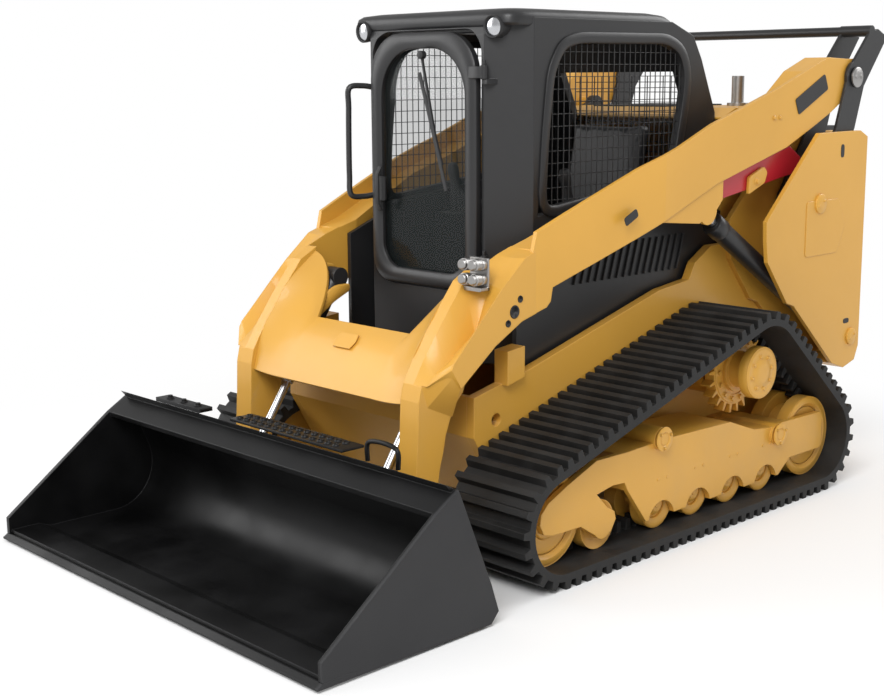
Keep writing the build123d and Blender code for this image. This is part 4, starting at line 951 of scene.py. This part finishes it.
class LOADER_OT_bucket(bpy.types.Operator):
    """The bucket's bolted edge, its cleat, the perforated step and the grab handle"""

    bl_idname = "loader.bucket"
    bl_label = "Bucket fittings"

    def execute(self, context):
        low, high = box("cutting_edge")
        head = [(-0.002, 0.015), (0.004, 0.014), (0.008, 0.008), (0.009, 0.001)]
        edge = Shape()
        for x in np.linspace(-0.93, 0.93, 11):
            # Two bolts side by side, and one at each end
            for shift in (-0.018, 0.018) if abs(x) < 0.9 else (0.0,):
                edge.turned(head, (x + shift, low[1] + 0.075, high[2] + 0.001), (0, 0, 1), 16)
        edge.piece("edge_bolts", "bucket_tool", "bare_steel")
        top = box("bucket")[1][2]
        front, back = self.lip_line(top)
        self.cleat(front, top)
        self.step(back, top)
        self.handle(back + 0.02, top)
        return {"FINISHED"}

    def lip_line(self, top):
        """The lowest and highest y of the bucket's top lip, from the highest points of its mesh."""
        points = surface_points("bucket")
        near = points[points[:, 2] > top - 0.03]
        return near[:, 1].min(), near[:, 1].max()

    def cleat(self, y, top):
        """A low bar on the lip at the machine's right, with three bolts."""
        cleat = Shape().block((-0.72, y - 0.004, top + 0.002), (-0.40, y + 0.06, top + 0.018), 0.004)
        heads = [(x, y + 0.03, top + 0.018) for x in (-0.66, -0.56, -0.46)]
        cleat.bolts(heads, (0, 0, 1), 0.012, 0.012)
        cleat.piece("bucket_cleat", "bucket_tool", "bucket_paint")

    def step(self, y, top):
        """A tread with two rows of raised rings, carried behind the lip."""
        low = np.array((-0.22, y - 0.03, top + 0.002))
        high = np.array((0.46, y + 0.075, top + 0.012))
        ring = [(0.0, 0.015), (0.006, 0.0125), (0.006, 0.0095), (0.0, 0.009)]
        tread = Shape().block(low, high)
        for x in np.arange(low[0] + 0.03, high[0] - 0.02, 0.045):
            for row in (0.028, 0.075):
                tread.turned(ring, (x, low[1] + row, high[2]), (0, 0, 1), 14, caps=False)
        tread.piece("bucket_step", "bucket_tool", "bucket_paint")

    def handle(self, y, top):
        """A bent grab bar beside the step."""
        path = [(0.54, y, top - 0.02), (0.54, y, top + 0.04), (0.58, y, top + 0.058),
                (0.66, y, top + 0.058), (0.70, y, top + 0.04), (0.70, y, top - 0.02)]
        handle = Shape().bar(smooth_line(path, 5), 0.009, 0.009, 10)
        handle.piece("bucket_handle", "bucket_tool", "bucket_paint")


# Arms and towers ----------------------------------------------------------------------------

class LOADER_OT_arms(bpy.types.Operator):
    """What is on the arms: bare plates, holes in the knees, hose couplers, pin caps and the brace's latch"""

    bl_idname = "loader.arms"
    bl_label = "Arm fittings"

    def execute(self, context):
        both(self.plates)
        both(self.knee)
        both(self.link_caps)
        self.couplers()
        self.brace_latch()
        return {"FINISHED"}

    def plates(self, side, sign):
        """Two bare plates on each arm, at the tail and at the middle, and the bolts beside the first."""
        face = sign * ARM_FACE
        slope = 0.44
        along = np.array((cos(slope), sin(slope)))
        across = np.array((-sin(slope), cos(slope)))
        shape = Shape()
        for centre, length, width in (((1.246, 1.757), 0.26, 0.075), ((-0.020, 1.300), 0.085, 0.036)):
            corners = [np.array(centre) + along * u * length / 2 + across * v * width / 2
                       for u, v in ((-1, -1), (1, -1), (1, 1), (-1, 1))]
            shape.plate(rounded_loop(corners, 0.012), face, face + sign * 0.003, 0.001)
        shape.piece(f"arm_plates_{side}", "lift_arms", "dark_plastic")
        heads = Shape().bolts([(face, 1.00, 1.66), (face, 0.955, 1.66)], (sign, 0, 0), 0.008, 0.006)
        heads.piece(f"arm_bolts_{side}", "lift_arms", "yellow_paint")

    def knee(self, side, sign):
        """Holes in the knee, each a short dark cup with a rolled rim; the dark is painted shade that stands
        for the holes' depth.
        """
        shape = Shape()
        for y, z, radius in ((-0.560, 1.030, 0.014), (-0.590, 0.985, 0.026), (-0.625, 0.945, 0.014)):
            cup = [(0.0, radius), (0.0025, radius * 0.9), (0.0005, radius * 0.72), (0.0002, radius * 0.05)]
            shape.turned(cup, (sign * KNEE_FACE, y, z), (sign, 0, 0), 24)
        shape.piece(f"knee_holes_{side}", "lift_arms", "dark_plastic")

    def link_caps(self, side, sign):
        """A round cap with two bolts on the pin at the head of each rear link."""
        face = outer_face(f"rear_link_{side}")
        y, z = pin("lift")[1:]
        out = (sign, 0, 0)
        caps = Shape().turned([(-0.002, 0.046), (0.006, 0.046), (0.009, 0.042), (0.009, 0.006)],
                              (sign * face, y, z), out)
        caps.bolts([(sign * (face + 0.008), y + shift, z) for shift in (-0.022, 0.022)], out, 0.007, 0.006)
        caps.piece(f"link_caps_{side}", "rear_links", "bare_steel")

    def couplers(self):
        """The quick couplers of the auxiliary lines: ribbed sockets on a bracket at the left knee."""
        base = np.array((0.560, -0.700, 1.130))
        shape = Shape()
        for low, high in (((-0.050, -0.030, -0.060), (0.045, 0.020, -0.045)),
                          ((-0.050, 0.008, -0.060), (0.045, 0.020, 0.060))):
            shape.block(base + low, base + high, 0.004)
        profile = [(0.0, 0.016), (0.006, 0.021), (0.022, 0.021), (0.024, 0.017), (0.034, 0.017),
                   (0.036, 0.023), (0.062, 0.023), (0.064, 0.019), (0.074, 0.019), (0.078, 0.015),
                   (0.078, 0.006)]
        for z in (-0.020, 0.034):
            for x in (-0.026, 0.026):
                shape.turned(profile, base + (x, 0.006, z), (0.15, -1, 0.1), 20)
        shape.piece("hose_couplers", "lift_arms", "bare_steel")

    def brace_latch(self):
        """The yellow block and bolt that hold the red brace against the left arm."""
        face = box("arm_brace")[1][0]
        corners = [(0.815, 1.335), (0.935, 1.378), (0.955, 1.425), (0.930, 1.452), (0.820, 1.412)]
        shape = Shape().plate(rounded_loop(corners, 0.012), face, face + 0.018)
        shape.bolts([(face + 0.018, 0.87, 1.39)], (1, 0, 0), 0.012, 0.012)
        shape.piece("brace_latch", "lift_arms", "yellow_paint")


class LOADER_OT_towers(bpy.types.Operator):
    """Pivot caps, slots and the bare panel on the rear towers"""

    bl_idname = "loader.towers"
    bl_label = "Tower fittings"

    def execute(self, context):
        both(self.fittings)
        return {"FINISHED"}

    def fittings(self, side, sign):
        """Two slots, each a thin dark plate as painted shade in place of its depth, a bare panel and a cap
        with two bolts on each pin of one tower.
        """
        face = sign * TOWER_FACE
        out = (sign, 0, 0)
        # Each slot is a dark plate nearly flush with the tower: painted shade standing in for the slot's
        # depth
        dark = Shape()
        for centre, size in (((1.455, 1.500), (0.030, 0.060)), ((1.555, 0.700), (0.050, 0.024))):
            loop = np.array(centre) + np.column_stack(squared(turn(32), 0.6)) * size / 2
            dark.plate(loop, face - sign * 0.004, face + sign * 0.0015, 0.001)
        dark.piece(f"tower_slots_{side}", "chassis", "dark_plastic")
        corners = [(1.17, 1.035), (1.44, 1.035), (1.50, 1.16), (1.44, 1.285), (1.17, 1.285)]
        panel = Shape().plate(rounded_loop(corners, 0.020), face, face + sign * 0.003, 0.0012)
        panel.piece(f"tower_panel_{side}", "chassis", "yellow_paint")
        caps = Shape()
        for joint, radius in (("lift_barrel_swing", 0.040), ("rear_link_swing", 0.044)):
            centre = np.array((face, *pin(joint)[1:]))
            caps.turned([(0.0, radius), (0.009, radius), (0.012, radius * 0.9), (0.012, 0.006)], centre, out)
            caps.bolts(on_circle(centre + (sign * 0.010, 0, 0), radius * 0.55, 2, 0.5), out, 0.007, 0.006)
        caps.piece(f"tower_caps_{side}", "chassis", "yellow_paint")


class LOADER_OT_rear(bpy.types.Operator):
    """The engine bay's outside: louvres in hood and sides, the rear door's grille, its latch and the lamps"""

    bl_idname = "loader.rear"
    bl_label = "Rear and hood"

    def execute(self, context):
        self.hood()
        self.door()
        both(self.side_vents)
        return {"FINISHED"}

    def hood(self):
        """Rows of raised slats across the hood behind the cab."""
        z = box("engine_hood")[1][2] + 0.002
        slats = Shape()
        for y in np.arange(1.02, 1.50, 0.040):
            for x in (-0.24, 0.0):
                slats.bar([(x - 0.095, y, z), (x + 0.095, y, z)], 0.010, 0.005, 8, 0.6)
        slats.piece("hood_louvres", "chassis", "dark_plastic")

    def door(self):
        """The rear door's slats in their frame, its two lamps and its latch."""
        y = box("rear_door")[1][1]
        grille = Shape()
        for z in np.arange(0.98, 1.46, 0.034):
            grille.bar([(-0.40, y - 0.004, z), (0.40, y - 0.004, z)], 0.006, 0.011, 8, 0.6)
        grille.grid(self.rim(0.44, 0.95, 1.49, y), around=True, along=True)
        grille.piece("rear_grille", "engine_door", "dark_plastic")
        lamps = Shape()
        for sign in (-1, 1):
            lamps.block((sign * 0.47, y - 0.012, 0.80), (sign * 0.36, y + 0.004, 0.88))
        lamps.piece("tail_lamps", "engine_door", "red_paint")
        latch = Shape().block((-0.46, y - 0.012, 1.10), (-0.43, y + 0.004, 1.26))
        latch.piece("rear_latch", "engine_door", "dark_plastic")

    def rim(self, half, bottom, top, y):
        """A flat raised frame about the grille, as a closed section swept round a rounded outline."""
        loop = rounded_loop([(-half, bottom), (half, bottom), (half, top), (-half, top)], 0.05)
        section = ((0.0, -0.010), (0.0, 0.001), (0.2, 0.004), (0.8, 0.004), (1.0, 0.001), (1.0, -0.010))
        return band(loop, inset(loop, 0.028), section, lambda ring, depth: facing(ring, y + depth))

    def side_vents(self, side, sign):
        """Slanted louvres on the dark panel under the arm."""
        face = sign * PANEL_FACE
        vents = Shape()
        for y in np.arange(-0.10, 0.62, 0.045):
            vents.bar([(face, y, 1.02), (face, y + 0.045, 1.17)], 0.004, 0.010, 8, 0.6)
        vents.piece(f"side_louvres_{side}", "chassis", "black_paint")


class LOADER_OT_cylinders(bpy.types.Operator):
    """Glands at the ends of the lift and tilt cylinders' barrels"""

    bl_idname = "loader.cylinders"
    bl_label = "Cylinders"

    def execute(self, context):
        both(self.lift)
        both(self.tilt)
        return {"FINISHED"}

    def lift(self, side, sign):
        """A lift cylinder's gland: its profile, (past the barrel's end, radius), closes in on the rod."""
        profile = ((-0.075, 0.0455), (-0.070, 0.049), (-0.006, 0.049), (0.0, 0.045), (0.001, 0.029),
                   (-0.006, 0.026))
        self.gland("lift", side, sign * LIFT_X, profile, 36)

    def tilt(self, side, sign):
        """A tilt cylinder's gland, thinner and shorter."""
        profile = ((-0.055, 0.0365), (-0.050, 0.040), (-0.005, 0.040), (0.0, 0.036), (0.001, 0.0285),
                   (-0.006, 0.0275))
        self.gland("tilt", side, sign * TILT_X, profile, 32)

    def gland(self, kind, side, x, profile, sides):
        """A turned collar about the end of a barrel."""
        foot = pin(f"{kind}_barrel_swing")
        axis = np.array(JOINTS[f"{kind}_rod_slide"]["axis"])
        end = end_of(f"{kind}_barrel_{side}", foot, axis)
        collar = Shape().turned([(end + along, radius) for along, radius in profile], (x, foot[1], foot[2]),
                                axis, sides, caps=False)
        collar.piece(f"{kind}_gland_{side}", f"{kind}_barrels", "black_paint")


# The whole machine --------------------------------------------------------------------------

class LOADER_OT_finishes(bpy.types.Operator):
    """Gives every part of the frame the finish of its material slot"""

    bl_idname = "loader.finishes"
    bl_label = "Finishes"

    def execute(self, context):
        FINISHES.update(finishes())
        for part in frame["record"]["subparts"]:
            node = NODES[part["node"]]
            node.data.materials.clear()
            node.data.materials.append(FINISHES[part["material_slot"]])
        return {"FINISHED"}


class LOADER_OT_stage(bpy.types.Operator):
    """Sets up the floor, the light and the camera"""

    bl_idname = "loader.stage"
    bl_label = "Stage"

    def execute(self, context):
        scene = context.scene
        settings = scene.loader_stage
        scene.view_settings.view_transform = "Standard"
        self.floor()
        self.world(settings.sky)
        target = Vector((0, 0, 0.8))
        for name, place, share in (
            ("key_lamp", (3.5, -5.5, 6.0), 1.0),
            ("fill_lamp", (-5.0, -4.0, 3.5), 0.35),
            ("rim_lamp", (2.0, 6.0, 5.0), 0.45),
        ):
            light = bpy.data.lights.new(name, "AREA")
            light.size = 4.0
            light.energy = settings.key * share
            lamp = bpy.data.objects.new(name, light)
            scene.collection.objects.link(lamp)
            lamp.location = place
            lamp.rotation_euler = (target - Vector(place)).to_track_quat("-Z", "Y").to_euler()
        self.camera(settings)
        return {"FINISHED"}

    def floor(self):
        """A pale floor that fades to plain white away from the machine, and so has no horizon."""
        mesh = bpy.data.meshes.new("floor")
        half = 40.0
        corners = [(-half, -half, 0), (half, -half, 0), (half, half, 0), (-half, half, 0)]
        mesh.from_pydata(corners, [], [(0, 1, 2, 3)])
        floor = bpy.data.objects.new("floor", mesh)
        bpy.context.scene.collection.objects.link(floor)
        g = Graph(bpy.data.materials.new("floor"))
        diffuse = g.node("ShaderNodeBsdfDiffuse", {}, Color=(0.88, 0.88, 0.88, 1.0))
        white = g.node("ShaderNodeEmission", {}, Color=(1.0, 1.0, 1.0, 1.0), Strength=1.0)
        away = g.node("ShaderNodeVectorMath", {"operation": "LENGTH"}, g.coords, output="Value")
        surface = g.node("ShaderNodeMixShader", {}, away.between(1.6, 3.4), diffuse, white)
        g.node("ShaderNodeOutputMaterial", {}, Surface=surface)
        mesh.materials.append(g.owner)

    def world(self, strength):
        """Light from all round, and plain white wherever the camera sees past the machine."""
        world = bpy.data.worlds.new("studio")
        bpy.context.scene.world = world
        g = Graph(world)
        white = (1.0, 1.0, 1.0, 1.0)
        seen = g.node("ShaderNodeLightPath", {}, output="Is Camera Ray")
        through = g.node("ShaderNodeLightPath", {}, output="Is Transmission Ray")
        lit = g.node("ShaderNodeBackground", {}, Color=white, Strength=strength)
        plain = g.node("ShaderNodeBackground", {}, Color=white, Strength=1.0)
        surface = g.node("ShaderNodeMixShader", {}, seen.math("MAXIMUM", through), lit, plain)
        g.node("ShaderNodeOutputWorld", {}, Surface=surface)

    def camera(self, settings):
        """A camera turned about the upright axis, dipped, and rolled a little about its own line."""
        camera = bpy.data.objects.new("camera", bpy.data.cameras.new("camera"))
        bpy.context.scene.collection.objects.link(camera)
        camera.data.lens = settings.lens
        camera.data.sensor_width = 36.0
        turn, dip, roll = settings.camera_turn, settings.camera_dip, settings.camera_roll
        back = Vector((sin(turn) * cos(dip), -cos(turn) * cos(dip), sin(dip)))
        right = Vector((cos(turn), sin(turn), 0.0))
        up = back.cross(right)
        rolled_right, rolled_up = right * cos(roll) + up * sin(roll), up * cos(roll) - right * sin(roll)
        axes = Matrix((rolled_right, rolled_up, back)).transposed()
        camera.matrix_world = Matrix.Translation(settings.camera_place) @ axes.to_4x4()
        bpy.context.scene.camera = camera


class LOADER_PT_panel(bpy.types.Panel):
    """The buttons that make each group of pieces"""

    bl_label = "Track Loader"
    bl_idname = "LOADER_PT_panel"
    bl_space_type = "VIEW_3D"
    bl_region_type = "UI"
    bl_category = "Loader"

    def draw(self, context):
        for operator in OPERATORS:
            self.layout.operator(operator.bl_idname)


OPERATORS = (LOADER_OT_stage, LOADER_OT_finishes, LOADER_OT_roof, LOADER_OT_door, LOADER_OT_guards,
             LOADER_OT_interior, LOADER_OT_crossplate, LOADER_OT_wheels, LOADER_OT_bucket, LOADER_OT_arms,
             LOADER_OT_towers, LOADER_OT_rear, LOADER_OT_cylinders)
CLASSES = (LoaderPaint, LoaderFittings, StageSettings, *OPERATORS, LOADER_PT_panel)
SETTINGS = {"loader_paint": LoaderPaint, "loader_fittings": LoaderFittings, "loader_stage": StageSettings}


def register():
    for cls in CLASSES:
        bpy.utils.register_class(cls)
    for name, group in SETTINGS.items():
        setattr(bpy.types.Scene, name, PointerProperty(type=group))


def unregister():
    for name in SETTINGS:
        delattr(bpy.types.Scene, name)
    for cls in reversed(CLASSES):
        bpy.utils.unregister_class(cls)


def main():
    register()
    for operator in OPERATORS:
        group, name = operator.bl_idname.split(".")
        getattr(getattr(bpy.ops, group), name)()


if __name__ == "__main__":
    main()
